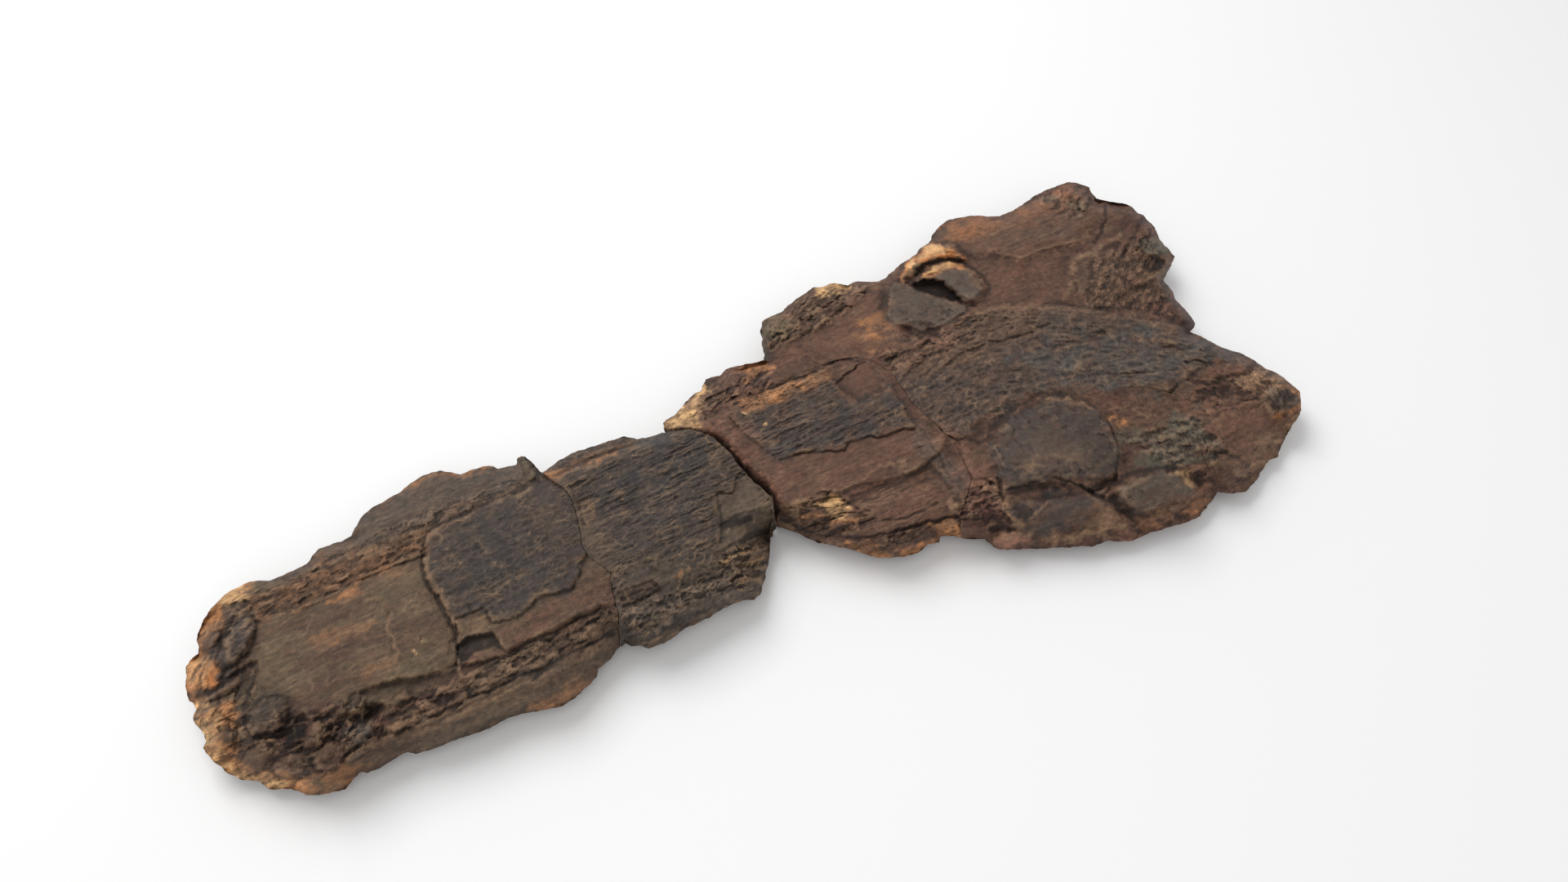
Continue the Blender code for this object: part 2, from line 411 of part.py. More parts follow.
def main():
    clear_scene()
    tip_rear, middle_front = beside(JOIN_TIP_MIDDLE, -JOIN_GAP / 2), beside(JOIN_TIP_MIDDLE, JOIN_GAP / 2)
    face_rear, back_front = beside(JOIN_FACE_BACK, -JOIN_GAP / 2), beside(JOIN_FACE_BACK, JOIN_GAP / 2)
    fragment(
        "snout_tip", TIP_FRONT, tip_rear, TIP_NEAR[:-1] + tip_rear[:1],
        TIP_FAR_FORWARD[:-1] + TIP_FAR_FLANK[:-1] + tip_rear[-1:],
        [(TIP_NEAR, 3.2, 9.0), (TIP_FRONT, 6.5, 5.0), (TIP_FAR_FORWARD, 9.0, 4.0), (TIP_FAR_FLANK, 8.0, 11.0)],
        (0.16, 0.12, 0.08, 0.003),
    )
    fragment(
        "snout_middle", middle_front, MIDDLE_REAR,
        middle_front[:1] + MIDDLE_NEAR[1:], middle_front[-1:] + MIDDLE_FAR[1:],
        [(MIDDLE_NEAR, 3.8, 7.0), (MIDDLE_FAR, 9.5, 4.0)],
        (0.14, 0.12, 0.006, 0.006),
    )
    fragment(
        "face", FACE_FRONT, face_rear, FACE_NEAR[:-1] + face_rear[:1], FACE_FAR[:-1] + face_rear[-1:],
        [(FACE_NEAR, 3.2, 8.0), (FACE_FAR[:12], 9.0, 7.0), (FACE_FAR[11:], 9.0, 3.0)],
        (0.18, 0.12, 0.006, 0.006),
    )
    fragment(
        "skull_back", back_front, BACK_WING_REAR[:-1] + BACK_OCCIPUT[:-1] + BACK_FAR_REAR,
        back_front[:1] + BACK_NEAR[1:], back_front[-1:] + BACK_SHOULDER[1:-1] + BACK_FAR,
        [(BACK_NEAR[:7], 3.2, 8.0), (BACK_NEAR[6:], 4.0, 14.0), (BACK_WING_REAR, 8.0, 5.0), (BACK_OCCIPUT, 6.5, 3.0),
         (BACK_FAR_REAR, 8.5, 4.0), (BACK_SHOULDER, 9.0, 3.0), (BACK_FAR, 9.5, 6.0)],
        (0.10, 0.08, 0.003, 0.05),
    )


main()
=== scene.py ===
import math

import bpy
import numpy as np
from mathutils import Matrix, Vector


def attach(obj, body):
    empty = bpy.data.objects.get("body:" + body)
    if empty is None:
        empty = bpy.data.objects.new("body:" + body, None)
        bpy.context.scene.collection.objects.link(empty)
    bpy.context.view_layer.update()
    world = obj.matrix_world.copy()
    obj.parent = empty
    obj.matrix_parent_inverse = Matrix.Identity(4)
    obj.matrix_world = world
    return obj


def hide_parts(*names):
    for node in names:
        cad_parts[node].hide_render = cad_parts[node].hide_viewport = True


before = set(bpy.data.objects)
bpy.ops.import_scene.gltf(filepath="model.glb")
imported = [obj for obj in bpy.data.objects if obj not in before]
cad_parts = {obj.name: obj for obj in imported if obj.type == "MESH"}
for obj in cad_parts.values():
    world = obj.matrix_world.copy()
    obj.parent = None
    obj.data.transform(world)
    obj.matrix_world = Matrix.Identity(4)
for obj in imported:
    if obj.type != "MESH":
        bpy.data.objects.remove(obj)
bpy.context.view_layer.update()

# Places are in millimetres on the level of the skull roof: x from the snout towards the back of the skull,
# y across it, as the eye sees them from one viewpoint above the near side. placePoints gives them their height.
roofLevel = 15.0
viewPoint = np.array([54.4, -138.3])
viewHeight = 206.7
slabCentre = np.array([128.05, 1.75])
metresPerMillimetre = 0.001

# The slab is nowhere thicker than this, and what would rise above is pressed down into the band over it
greatestLevel = 16.6
bandOver = 0.9

# A bone layer with an edge narrower than brokenEdge breaks in steps, and one narrower than cleanEdge is straight
brokenEdge, cleanEdge = 1.0, 0.35
# Mounds shorter than this have a steep foot, and those that rise more than this stand clear of the chips
steepMound, boulderRise = 11, 1.1

# Bed of rock under the bone layers: its level along the slab, and how fast it falls to both sides
bedStations = [-12, 0, 8, 42, 118, 140, 165, 200, 230, 265]
bedLevels = [11.4, 12.6, 13.2, 13.4, 13.4, 13.7, 14.0, 14.4, 14.0, 13.0]
bedCrown = 0.0006

# Relief all over the top: height and size of its rolling forms and of its grit
rollingHeight, rollingSize, gritHeight, gritSize = 0.16, 9, 0.05, 1.6

# Stains: one that is softer than cleanStain has a ragged edge; contrast of the streaks along the bedding, and
# contrast and size of the specks
cleanStain = 0.5
streakContrast, speckContrast, speckSize = 0.26, 0.22, 1.3

# How far round each point the masks of hollows and crests look
maskReach = 0.72

# Sides: how far the ledges of the bedding stand out, the forms behind them, and how deep the side is undercut
ledgeDepth, sideDepth, undercut = 0.55, 0.5, 0.7

# Underside: depth of its hollows, least depth, depth of its broken rock, and height and width of its lifted rim
hollowDepth, leastHollow, brokenDepth, rimLift, liftWidth = 1.5, 0.2, 0.7, 0.9, 5

# Flat spots underneath that the fragments rest on: centre and radius, and the width of the slope round them
restFade = 6
restSpots = [((30, -1), 15), ((97, -1), 11), ((141, -4), 11), ((203, -6), 22)]


# Random relief, made of a lattice of repeatable values

def latticeValue(ix, iy, seed):
    # a repeatable value from 0 to 1 for each point of a whole-numbered lattice
    mixed = (ix * 374761393 + iy * 668265263 + seed * 974634777) & 0xFFFFFFFF
    mixed = ((mixed ^ (mixed >> 13)) * 1274126177) & 0xFFFFFFFF
    return (mixed ^ (mixed >> 16)) / 0xFFFFFFFF


def lumps(x, y, size, seed):
    # lattice values blended by 3t^2 - 2t^3 both ways: smooth lumps from -1 to 1, about size mm across
    gx, gy = x / size, y / size
    ix, iy = np.floor(gx).astype(np.int64), np.floor(gy).astype(np.int64)
    fx, fy = gx - ix, gy - iy
    fx, fy = fx * fx * (3 - 2 * fx), fy * fy * (3 - 2 * fy)
    low = latticeValue(ix, iy, seed) * (1 - fx) + latticeValue(ix + 1, iy, seed) * fx
    high = latticeValue(ix, iy + 1, seed) * (1 - fx) + latticeValue(ix + 1, iy + 1, seed) * fx
    return 2 * (low * (1 - fy) + high * fy) - 1


def grains(x, y, size, seed):
    # each lattice point gets a slope in a random direction, and the four slopes round a point are blended
    # by 6t^5 - 15t^4 + 10t^3: about -1 to 1, level on the whole
    gx, gy = x / size, y / size
    ix, iy = np.floor(gx).astype(np.int64), np.floor(gy).astype(np.int64)
    fx, fy = gx - ix, gy - iy
    bx = fx ** 3 * (fx * (fx * 6 - 15) + 10)
    by = fy ** 3 * (fy * (fy * 6 - 15) + 10)
    total = np.zeros(x.shape)
    for dx in (0, 1):
        for dy in (0, 1):
            turn = 2 * np.pi * latticeValue(ix + dx, iy + dy, seed)
            share = (bx if dx else 1 - bx) * (by if dy else 1 - by)
            total += share * (np.cos(turn) * (fx - dx) + np.sin(turn) * (fy - dy))
    return 1.5 * total


def octaves(x, y, size, seed, count=3, fall=0.5):
    # grains of size, size / 2, size / 4 ... added, each fall times as high as the last
    total = np.zeros(x.shape)
    for k in range(count):
        total += fall ** k * grains(x, y, size / 2 ** k, seed + 17 * k)
    return total


def nearestCells(x, y, size, seed):
    # one random centre in each lattice square: distances to the nearest and next one, the nearest one's
    # offset and two values of its own
    gx, gy = x / size, y / size
    ix, iy = np.floor(gx).astype(np.int64), np.floor(gy).astype(np.int64)
    first, second = np.full(x.shape, 9.0), np.full(x.shape, 9.0)
    offX, offY, own, other = (np.zeros(x.shape) for _ in range(4))
    for dx in (-1, 0, 1):
        for dy in (-1, 0, 1):
            px = gx - (ix + dx + latticeValue(ix + dx, iy + dy, seed))
            py = gy - (iy + dy + latticeValue(ix + dx, iy + dy, seed + 5))
            gap = np.hypot(px, py)
            closer = gap < first
            second = np.where(closer, first, np.minimum(second, gap))
            first = np.where(closer, gap, first)
            offX, offY = np.where(closer, px, offX), np.where(closer, py, offY)
            own = np.where(closer, latticeValue(ix + dx, iy + dy, seed + 11), own)
            other = np.where(closer, latticeValue(ix + dx, iy + dy, seed + 23), other)
    return first, second, offX, offY, own, other


def facets(x, y, size, seed, tilt=0.9):
    # broken rock: every cell is a plane of its own height and tilt, from about -1 to 1
    offX, offY, own, other = nearestCells(x, y, size, seed)[2:]
    lean = 2 * np.pi * other
    return (own - 0.5) * 1.3 + tilt * (offX * np.cos(lean) + offY * np.sin(lean))


def pits(x, y, size, seed):
    # round pits between raised walls: 0 at a cell's centre, 1 on the line half way to the next
    first, second = nearestCells(x, y, size, seed)[:2]
    return np.clip(1 - (second - first) / 0.55, 0, 1)


def smoothStep(t):
    # 3t^2 - 2t^3 between 0 and 1, level beyond them
    t = np.clip(t, 0, 1)
    return t * t * (3 - 2 * t)


def stairs(height, step, riser=0.3):
    # terraces: the whole steps in a height, joined by a smooth riser over this share of each step
    whole = np.floor(height / step)
    rest = height / step - whole
    return step * (whole + smoothStep((rest - 0.5) / riser + 0.5))


def alongAndAcross(x, y, guide):
    # a cubic through the guide's points, straight on past its ends: the place along it and the distance off it
    gx, gy = np.array(guide, float).T
    curve = np.polyfit(gx, gy, min(3, len(guide) - 1))
    held = np.clip(x, gx.min(), gx.max())
    slope = np.polyval(np.polyder(curve), held)
    across = (y - np.polyval(curve, held) - slope * (x - held)) / np.sqrt(1 + slope ** 2)
    return x + slope * across / np.sqrt(1 + slope ** 2), across


def ridgeLines(along, across, length, width, seed):
    # long thin grains: sharp crests where their value passes zero, round grooves between
    fine = grains(along / length, across / width, 1.0, seed)
    return np.clip(1 - 3.2 * np.abs(fine), -0.6, 1)


# Lines, outlines and grids

def distanceTo(x, y, line):
    # distance to a line of straight runs
    nearest = np.full(x.shape, 1e9)
    for (ax, ay), (bx, by) in zip(line[:-1], line[1:]):
        run = max((bx - ax) ** 2 + (by - ay) ** 2, 1e-9)
        t = np.clip(((x - ax) * (bx - ax) + (y - ay) * (by - ay)) / run, 0, 1)
        nearest = np.minimum(nearest, np.hypot(x - ax - t * (bx - ax), y - ay - t * (by - ay)))
    return nearest


def depthInside(x, y, outline):
    # distance to a closed outline, positive inside it and negative outside; far from it, its box is enough
    xs, ys = np.array(outline, float).T
    outside = np.maximum(np.maximum(xs.min() - x, x - xs.max()), np.maximum(ys.min() - y, y - ys.max()))
    depth = -np.maximum(outside, 0) - 1e-3
    near = outside < 6
    if not near.any():
        return depth
    px, py = x[near], y[near]
    inside = np.zeros(px.shape, bool)
    loop = list(outline) + [outline[0]]
    for (ax, ay), (bx, by) in zip(loop[:-1], loop[1:]):
        if ay != by:
            inside ^= ((ay > py) != (by > py)) & (px < ax + (py - ay) * (bx - ax) / (by - ay))
    depth[near] = np.where(inside, 1, -1) * distanceTo(px, py, loop)
    return depth


def evenPoints(line, count):
    # this many points evenly spaced along a line of straight runs
    line = np.array(line, float)
    along = np.append(0, np.cumsum(np.hypot(*np.diff(line, axis=0).T)))
    wanted = np.linspace(0, along[-1], count)
    return np.stack([np.interp(wanted, along, line[:, k]) for k in (0, 1)], axis=-1)


def beside(line, step):
    # a join line moved square to itself, towards the back of the skull
    points = np.array(line, float)
    run = np.gradient(points, axis=0)
    run /= np.hypot(run[:, 0], run[:, 1])[:, None]
    return [tuple(point) for point in points + step * np.stack([run[:, 1], -run[:, 0]], axis=-1)]


def blendPatch(front, rear, near, far):
    # grid between four edges: their straight blends both ways, less the blend of the corners
    u = np.linspace(0, 1, len(near))[:, None, None]
    v = np.linspace(0, 1, len(front))[None, :, None]
    along = (1 - v) * near[:, None] + v * far[:, None]
    across = (1 - u) * front[None] + u * rear[None]
    corners = (1 - v) * ((1 - u) * near[0] + u * near[-1]) + v * ((1 - u) * far[0] + u * far[-1])
    return along + across - corners


def rimOf(grid):
    # the edge of a grid, once round anticlockwise
    return np.concatenate([grid[:-1, 0], grid[-1, :-1], grid[:0:-1, -1], grid[0, :0:-1]])


def smoothed(grid, reach):
    # each point becomes the mean of the square of points round it, done three times
    for _ in range(3):
        for axis in (0, 1):
            wide = np.pad(grid, [(reach + 1, reach) if axis == k else (0, 0) for k in (0, 1)], mode="edge")
            total = np.cumsum(wide, axis=axis)
            count = 2 * reach + 1
            grid = (np.take(total, range(count, total.shape[axis]), axis)
                    - np.take(total, range(0, total.shape[axis] - count), axis)) / count
    return grid


def placePoints(seen, level):
    # slides points seen on the roof's level along their lines of sight to their own level
    reach = 1 + (roofLevel - level)[..., None] / viewHeight
    return viewPoint + (seen - viewPoint) * reach


def colourOf(name):
    # red, green and blue as light, from the named screen colour
    shade = np.array(rockColours[name]) / 255
    return np.where(shade <= 0.04045, shade / 12.92, ((shade + 0.055) / 1.055) ** 2.4)


# The fossil's colours, as a screen shows them

rockColours = {
    "paleCrest": (152, 122, 94), "blueBlack": (58, 55, 56),
    "darkBone": (69, 59, 54), "greyBone": (85, 73, 64), "blueGrey": (77, 73, 70), "redPlate": (102, 72, 57),
    "darkRed": (78, 50, 41), "brownRock": (93, 69, 53), "ochre": (175, 120, 76), "cream": (219, 174, 121),
    # crack is the dark brown of real cracks; it is also laid as painted shade in hollows, gaps and on faces turned
    # from the light
    "crack": (33, 23, 19), "tan": (134, 104, 79), "olive": (96, 82, 61), "pink": (138, 98, 79),
    "orange": (192, 122, 68), "oliveBone": (101, 83, 62), "greyRock": (96, 79, 64), "greenGrey": (90, 83, 70),
}

# The finish of the rock and bone; sizes in millimetres. Each fragment names what differs on it.
# the fourth value sets how dark the hollows are painted as shade and how dark the hairline cracks are
stoneFinish = {"grainSize": 0.9, "crackSize": 9.0, "contrast": 3.4, "shadeAndCrackDark": 0.8, "rubbed": "paleCrest",
               "rubbing": 0.75, "bump": 1.0, "bumpHeight": 0.35, "gloss": 0.3}


# Shader nodes and the groups that all four fragments share

def newGroup(name, inputs, outputs):
    # a shader node group with its sockets, and the nodes at both ends
    group = bpy.data.node_groups.new(name, "ShaderNodeTree")
    for label, kind, value in inputs:
        socket = group.interface.new_socket(label, in_out="INPUT", socket_type=kind)
        if value is not None:
            socket.default_value = value
    for label, kind in outputs:
        group.interface.new_socket(label, in_out="OUTPUT", socket_type=kind)
    return group, group.nodes.new("NodeGroupInput").outputs, group.nodes.new("NodeGroupOutput").inputs


def addNode(tree, kind, settings=None, values=None):
    # a node with its settings, and its sockets set or linked
    node = tree.nodes.new(kind)
    for key, value in (settings or {}).items():
        setattr(node, key, value)
    for key, value in (values or {}).items():
        if isinstance(value, bpy.types.NodeSocket):
            tree.links.new(value, node.inputs[key])
        else:
            node.inputs[key].default_value = value
    return node


def mathNode(tree, operation, first, second, clamp=False):
    # one sum, difference, product, quotient or greater of two values
    return addNode(tree, "ShaderNodeMath", {"operation": operation, "use_clamp": clamp},
                   {0: first, 1: second}).outputs[0]


def mapRange(tree, value, start, end, low, high):
    # a straight change from low to high while the value goes from start to end, level beyond them
    return addNode(tree, "ShaderNodeMapRange", None, {
        "Value": value, "From Min": start, "From Max": end, "To Min": low, "To Max": high}).outputs[0]


def mixColours(tree, share, first, second, blend="MIX"):
    # the first colour where the share is 0 and the second, or their product, where it is 1
    return addNode(tree, "ShaderNodeMix", {"data_type": "RGBA", "blend_type": blend},
                   {"Factor": share, "A": first, "B": second}).outputs["Result"]


def noiseNode(tree, place, scale, detail, roughness=0.5):
    # noise of this many octaves, each higher one times the roughness as strong
    return addNode(tree, "ShaderNodeTexNoise", None, {
        "Vector": place, "Scale": scale, "Detail": detail, "Roughness": roughness}).outputs


def makeStoneGrain():
    # three sizes of grains, drawn out along the bedding, and hairline cracks between cells
    group, given, result = newGroup(
        "stoneGrain",
        [("Vector", "NodeSocketVector", None), ("Size", "NodeSocketFloat", 1.0),
         ("Crack Size", "NodeSocketFloat", 9.0)],
        [("Shade", "NodeSocketFloat"), ("Height", "NodeSocketFloat"), ("Crack", "NodeSocketFloat")])
    stretched = addNode(group, "ShaderNodeMapping", None,
                        {"Vector": given["Vector"], "Scale": (0.62, 1.0, 1.0)}).outputs[0]
    # sizes are in millimetres, so there are 1000 / size cells to a metre
    scale = mathNode(group, "DIVIDE", 1000.0, given["Size"])
    coarse = noiseNode(group, stretched, scale, 5.0, 0.68)["Fac"]
    fine = noiseNode(group, given["Vector"], mathNode(group, "MULTIPLY", scale, 3.1), 3.0, 0.6)["Fac"]
    grit = addNode(group, "ShaderNodeTexVoronoi", {"feature": "F1"},
                   {"Vector": stretched, "Scale": mathNode(group, "MULTIPLY", scale, 1.7)}).outputs["Distance"]
    broken = noiseNode(group, given["Vector"], 420.0, 3.0)["Color"]
    bent = addNode(group, "ShaderNodeMix", {"data_type": "VECTOR"},
                   {"Factor": 0.0035, "A": stretched, "B": broken}).outputs["Result"]
    cells = addNode(group, "ShaderNodeTexVoronoi", {"feature": "DISTANCE_TO_EDGE"},
                    {"Vector": bent, "Scale": mathNode(group, "DIVIDE", 1000.0, given["Crack Size"])})
    # a crack shows on the line between two cells, where the coarse grain is light
    line = mapRange(group, cells.outputs["Distance"], 0.0, 0.022, 1.0, 0.0)
    crack = mathNode(group, "MULTIPLY", line, mapRange(group, coarse, 0.5, 0.62, 0.0, 1.0), True)
    shade = mathNode(group, "ADD", mathNode(group, "MULTIPLY", coarse, 0.6),
                     mathNode(group, "MULTIPLY", fine, 0.4))
    height = mathNode(group, "ADD", shade, mathNode(group, "MULTIPLY", grit, 0.22))
    group.links.new(shade, result["Shade"])
    height = mathNode(group, "SUBTRACT", height, mathNode(group, "MULTIPLY", crack, 0.25))
    group.links.new(height, result["Height"])
    group.links.new(crack, result["Crack"])
    return group


def makeWeathering():
    # grain lightens and darkens the stain, hollows are darkened as painted shade and cracks get their own dark, in
    # one dark colour, and crests are rubbed pale
    group, given, result = newGroup(
        "weathering",
        [("Color", "NodeSocketColor", (0.1, 0.07, 0.05, 1)), ("Cavity", "NodeSocketFloat", 0.0),
         ("Crest", "NodeSocketFloat", 0.0), ("Grain", "NodeSocketFloat", 0.5), ("Crack", "NodeSocketFloat", 0.0),
         ("Contrast", "NodeSocketFloat", 1.0), ("Shade And Crack Color", "NodeSocketColor", (0.02, 0.012, 0.009, 1)),
         ("Shade And Crack Dark", "NodeSocketFloat", 0.8), ("Rubbed Color", "NodeSocketColor", (0.3, 0.22, 0.15, 1)),
         ("Rubbing", "NodeSocketFloat", 0.5)],
        [("Color", "NodeSocketColor"), ("Roughness", "NodeSocketFloat")])
    swing = mathNode(group, "MULTIPLY", mathNode(group, "SUBTRACT", given["Grain"], 0.5), given["Contrast"])
    level = mathNode(group, "ADD", swing, 1.0)
    grey = addNode(group, "ShaderNodeCombineColor", None, {0: level, 1: level, 2: level}).outputs[0]
    toned = mixColours(group, 1.0, given["Color"], grey, "MULTIPLY")
    patchy = mapRange(group, given["Grain"], 0.36, 0.62, 0.25, 1.0)
    rubbed = mathNode(group, "MULTIPLY", given["Crest"], patchy)
    rubbed = mathNode(group, "MULTIPLY", rubbed, given["Rubbing"], True)
    pale = mixColours(group, rubbed, toned, given["Rubbed Color"])
    # on the top the cavity mask lays painted shade in the hollows; the crack mask is the dark of real hairline
    # cracks
    hollow = mathNode(group, "MAXIMUM", given["Cavity"], given["Crack"])
    shadeAndCrackDark = mathNode(group, "MULTIPLY", hollow, given["Shade And Crack Dark"], True)
    # crests are smoother than the rock, and the darkened hollows and cracks are rougher
    worn = mathNode(group, "SUBTRACT", given["Grain"], mathNode(group, "MULTIPLY", given["Crest"], 0.15))
    rough = mathNode(group, "MAXIMUM", mapRange(group, worn, 0.2, 0.8, 0.5, 0.82),
                     mathNode(group, "MULTIPLY", shadeAndCrackDark, 0.9))
    group.links.new(mixColours(group, shadeAndCrackDark, pale, given["Shade And Crack Color"]), result["Color"])
    group.links.new(rough, result["Roughness"])
    return group


stoneGrain = makeStoneGrain()
weathering = makeWeathering()
print("grain and weathering are ready")


def fossilMaterial(piece):
    # the fragment's stain through the grain and the weathering, with the grain's height as a bump; both are
    # weaker where the bone is polished
    finish = piece["finish"]
    material = bpy.data.materials.new(piece["name"] + "Rock")
    material.use_nodes = True
    tree = material.node_tree
    shader = tree.nodes["Principled BSDF"]
    place = addNode(tree, "ShaderNodeTexCoord").outputs["Object"]
    stain, cavity, crest, polish = (
        addNode(tree, "ShaderNodeAttribute", {"attribute_name": name}).outputs[socket]
        for name, socket in (("stain", "Color"), ("cavity", "Fac"), ("crest", "Fac"), ("polish", "Fac")))
    roughShare = mathNode(tree, "SUBTRACT", 1.0, mathNode(tree, "MULTIPLY", polish, 0.7))
    grain = addNode(tree, "ShaderNodeGroup", {"node_tree": stoneGrain},
                    {"Vector": place, "Size": finish["grainSize"], "Crack Size": finish["crackSize"]})
    # the weathering darkens the cavity mask as painted shade in the hollows, and the grain's cracks as their real
    # dark, towards the crack colour
    worn = addNode(tree, "ShaderNodeGroup", {"node_tree": weathering}, {
        "Color": stain, "Cavity": cavity, "Crest": crest, "Grain": grain.outputs["Shade"],
        "Crack": grain.outputs["Crack"], "Contrast": mathNode(tree, "MULTIPLY", roughShare, finish["contrast"]),
        "Shade And Crack Dark": finish["shadeAndCrackDark"], "Shade And Crack Color": (*colourOf("crack") * 0.8, 1),
        "Rubbed Color": (*colourOf(finish["rubbed"]), 1), "Rubbing": finish["rubbing"]})
    bump = addNode(tree, "ShaderNodeBump", None, {
        "Strength": mathNode(tree, "MULTIPLY", roughShare, finish["bump"]),
        "Distance": finish["bumpHeight"] * metresPerMillimetre, "Height": grain.outputs["Height"]})
    tree.links.new(worn.outputs["Color"], shader.inputs["Base Color"])
    tree.links.new(worn.outputs["Roughness"], shader.inputs["Roughness"])
    tree.links.new(bump.outputs[0], shader.inputs["Normal"])
    shader.inputs["Metallic"].default_value = 0.0
    shader.inputs["Specular IOR Level"].default_value = finish["gloss"]
    return material


# Making one fragment

def bedLevel(x, y):
    # the rock's level along the length, falling off with the square of the distance from the midline
    return np.interp(x, bedStations, bedLevels) - bedCrown * y * y


def raggedPoint(x, y, reach):
    # the point moved by grains of three sizes times the reach, so that a straight outline comes out broken
    return (x + reach * (grains(x, y, 5.3, 300) + grains(x, y, 2.3, 301) + 0.55 * grains(x, y, 0.95, 302)),
            y + reach * (grains(x, y, 5.3, 305) + grains(x, y, 2.3, 303) + 0.55 * grains(x, y, 0.95, 304)))


def brokenPoint(x, y, reach):
    # the same, and each block of rock shifts whole, so that the outline also gets steps and corners
    wx, wy = raggedPoint(x, y, reach)
    own, other = nearestCells(wx / 1.5, wy, 2.6, 310)[4:]
    return wx + 2.4 * reach * (own - 0.5), wy + 2.4 * reach * (other - 0.5)


def chipsAt(x, y, size, turn, seed):
    # scaly broken rock: cells drawn out along the bedding, big ones terraced and small ones on them, with how
    # light each one is
    c, s = math.cos(math.radians(turn)), math.sin(math.radians(turn))
    along, across = (x * c + y * s) / 2.3, y * c - x * s
    along = along + 0.5 * grains(x, y, size, seed + 3)
    across = across + 0.5 * grains(x, y, size, seed + 4)
    first, second, offX, offY, own, other = nearestCells(along, across, size * 0.55, seed)
    lean = 2 * np.pi * other
    big = (own - 0.5) * 1.3 + 0.9 * (offX * np.cos(lean) + offY * np.sin(lean))
    small = facets(along, across, size * 0.24, seed + 7)
    broad = octaves(along, across, size * 1.3, seed + 9)
    # splits run between the cells, in patches
    split = np.exp(-(((second - first) / 0.13) ** 2))
    split = split * smoothStep(1.6 * octaves(x, y, size * 1.5, seed + 12) + 0.5)
    return stairs(0.8 * big + 0.9 * broad, 0.5, 0.25) + 0.45 * small - 0.45 * split, own - 0.5 + 0.5 * small


def ornamentAt(piece, x, y):
    # the bone's ridges and pits: height in mm, and how near each point is to the top of a ridge
    height, crest = np.zeros(x.shape), np.zeros(x.shape)
    wx, wy = raggedPoint(x, y, 0.3)
    for number, (outline, kind, length, width, rise, guide) in enumerate(piece["ornament"]):
        share = smoothStep(0.5 + depthInside(x, y, outline) / 4 + 0.5 * grains(x, y, 4, 490))
        used = share > 0.01
        if not used.any():
            continue
        seed = 500 + 40 * number
        along, across = alongAndAcross(wx[used], wy[used], guide)
        if kind == "pits":
            along = along + 0.6 * length * grains(along, across, 2.5 * length, seed + 2)
            form = pits(along / 1.4, across, length, seed)
            form = form * (0.65 + 0.8 * octaves(along, across, 5, seed + 31)) - 0.3
        else:
            form = np.maximum(ridgeLines(along, across, length, width * 1.7, seed),
                              0.75 * ridgeLines(along, across, length * 0.5, width, seed + 15))
            if kind == "net":
                form = np.maximum(0.9 * form, 0.8 * pits(along / 1.6, across, width * 1.7, seed + 9) - 0.3)
            form = form * (0.8 + 0.55 * grains(along, across, 5, seed + 31))
        height[used] += share[used] * rise * form
        crest[used] = np.maximum(crest[used], share[used] * np.clip(form, 0, 1) ** 3)
    return height, crest


def reliefOf(piece, x, y):
    # layers with broken edges, mounds, ridges and cracks, chipped areas and ornament, added up:
    # a layer rises by 3t^2 - 2t^3 over its edge, a mound with 1 less the squares of the distances from its centre,
    # and a ridge or crack falls off as a bell curve to both sides
    height, covered, tone = np.zeros(x.shape), np.zeros(x.shape), np.zeros(x.shape)
    uneven = 0.85 + 0.4 * octaves(x, y, 14, 350, 2)
    fading = 0.3 + 0.7 * smoothStep(0.6 + 0.9 * octaves(x, y, 7, 340, 2))
    wx, wy = raggedPoint(x, y, piece["ragged"])
    bx, by = brokenPoint(x, y, piece["ragged"])
    for outline, rise, edge in piece["layers"]:
        px, py = (bx, by) if edge < brokenEdge else (wx, wy)
        if edge < cleanEdge:
            px, py = x + 0.3 * (wx - x), y + 0.3 * (wy - y)
        height += rise * uneven * smoothStep(0.5 + depthInside(px, py, outline) / edge)
    for (cx, cy), (halfLength, halfWidth), turn, rise in piece["mounds"]:
        c, s = math.cos(math.radians(turn)), math.sin(math.radians(turn))
        along, across = (wx - cx) * c + (wy - cy) * s, (wy - cy) * c - (wx - cx) * s
        reach = 1 - (along / halfLength) ** 2 - (across / halfWidth) ** 2
        reach += 0.3 * piece["ragged"] * facets(x, y, 2.4, 331) * (reach > -1)
        steep = 0.5 if halfLength < steepMound else 0.0
        height += rise * ((1 - steep) * smoothStep(reach) + steep * np.sqrt(np.clip(reach, 0, 1)))
        if rise > boulderRise:
            # a groove runs round a boulder's foot
            covered = np.maximum(covered, smoothStep(reach * 2))
            height -= 0.2 * np.exp(-((reach + 0.12) / 0.16) ** 2)
    for line, halfWidth, rise in piece["lines"]:
        height += rise * (1 if rise > 0 else fading) * np.exp(-((distanceTo(wx, wy, line) / halfWidth) ** 2))
    for number, (outline, size, rise, turn) in enumerate(piece["chipped"]):
        share = smoothStep(0.5 + depthInside(wx, wy, outline) / 2.5) * (1 - 0.5 * covered)
        used = share > 0.01
        if used.any():
            form, light = chipsAt(x[used], y[used], size, turn, 40 + 31 * number)
            height[used] += share[used] * rise * form
            tone[used] += share[used] * light
    height += rollingHeight * octaves(x, y, rollingSize, 1, 3) + gritHeight * octaves(x, y, gritSize, 5, 2)
    fineHeight, crest = ornamentAt(piece, x, y)
    return height + fineHeight, crest, tone


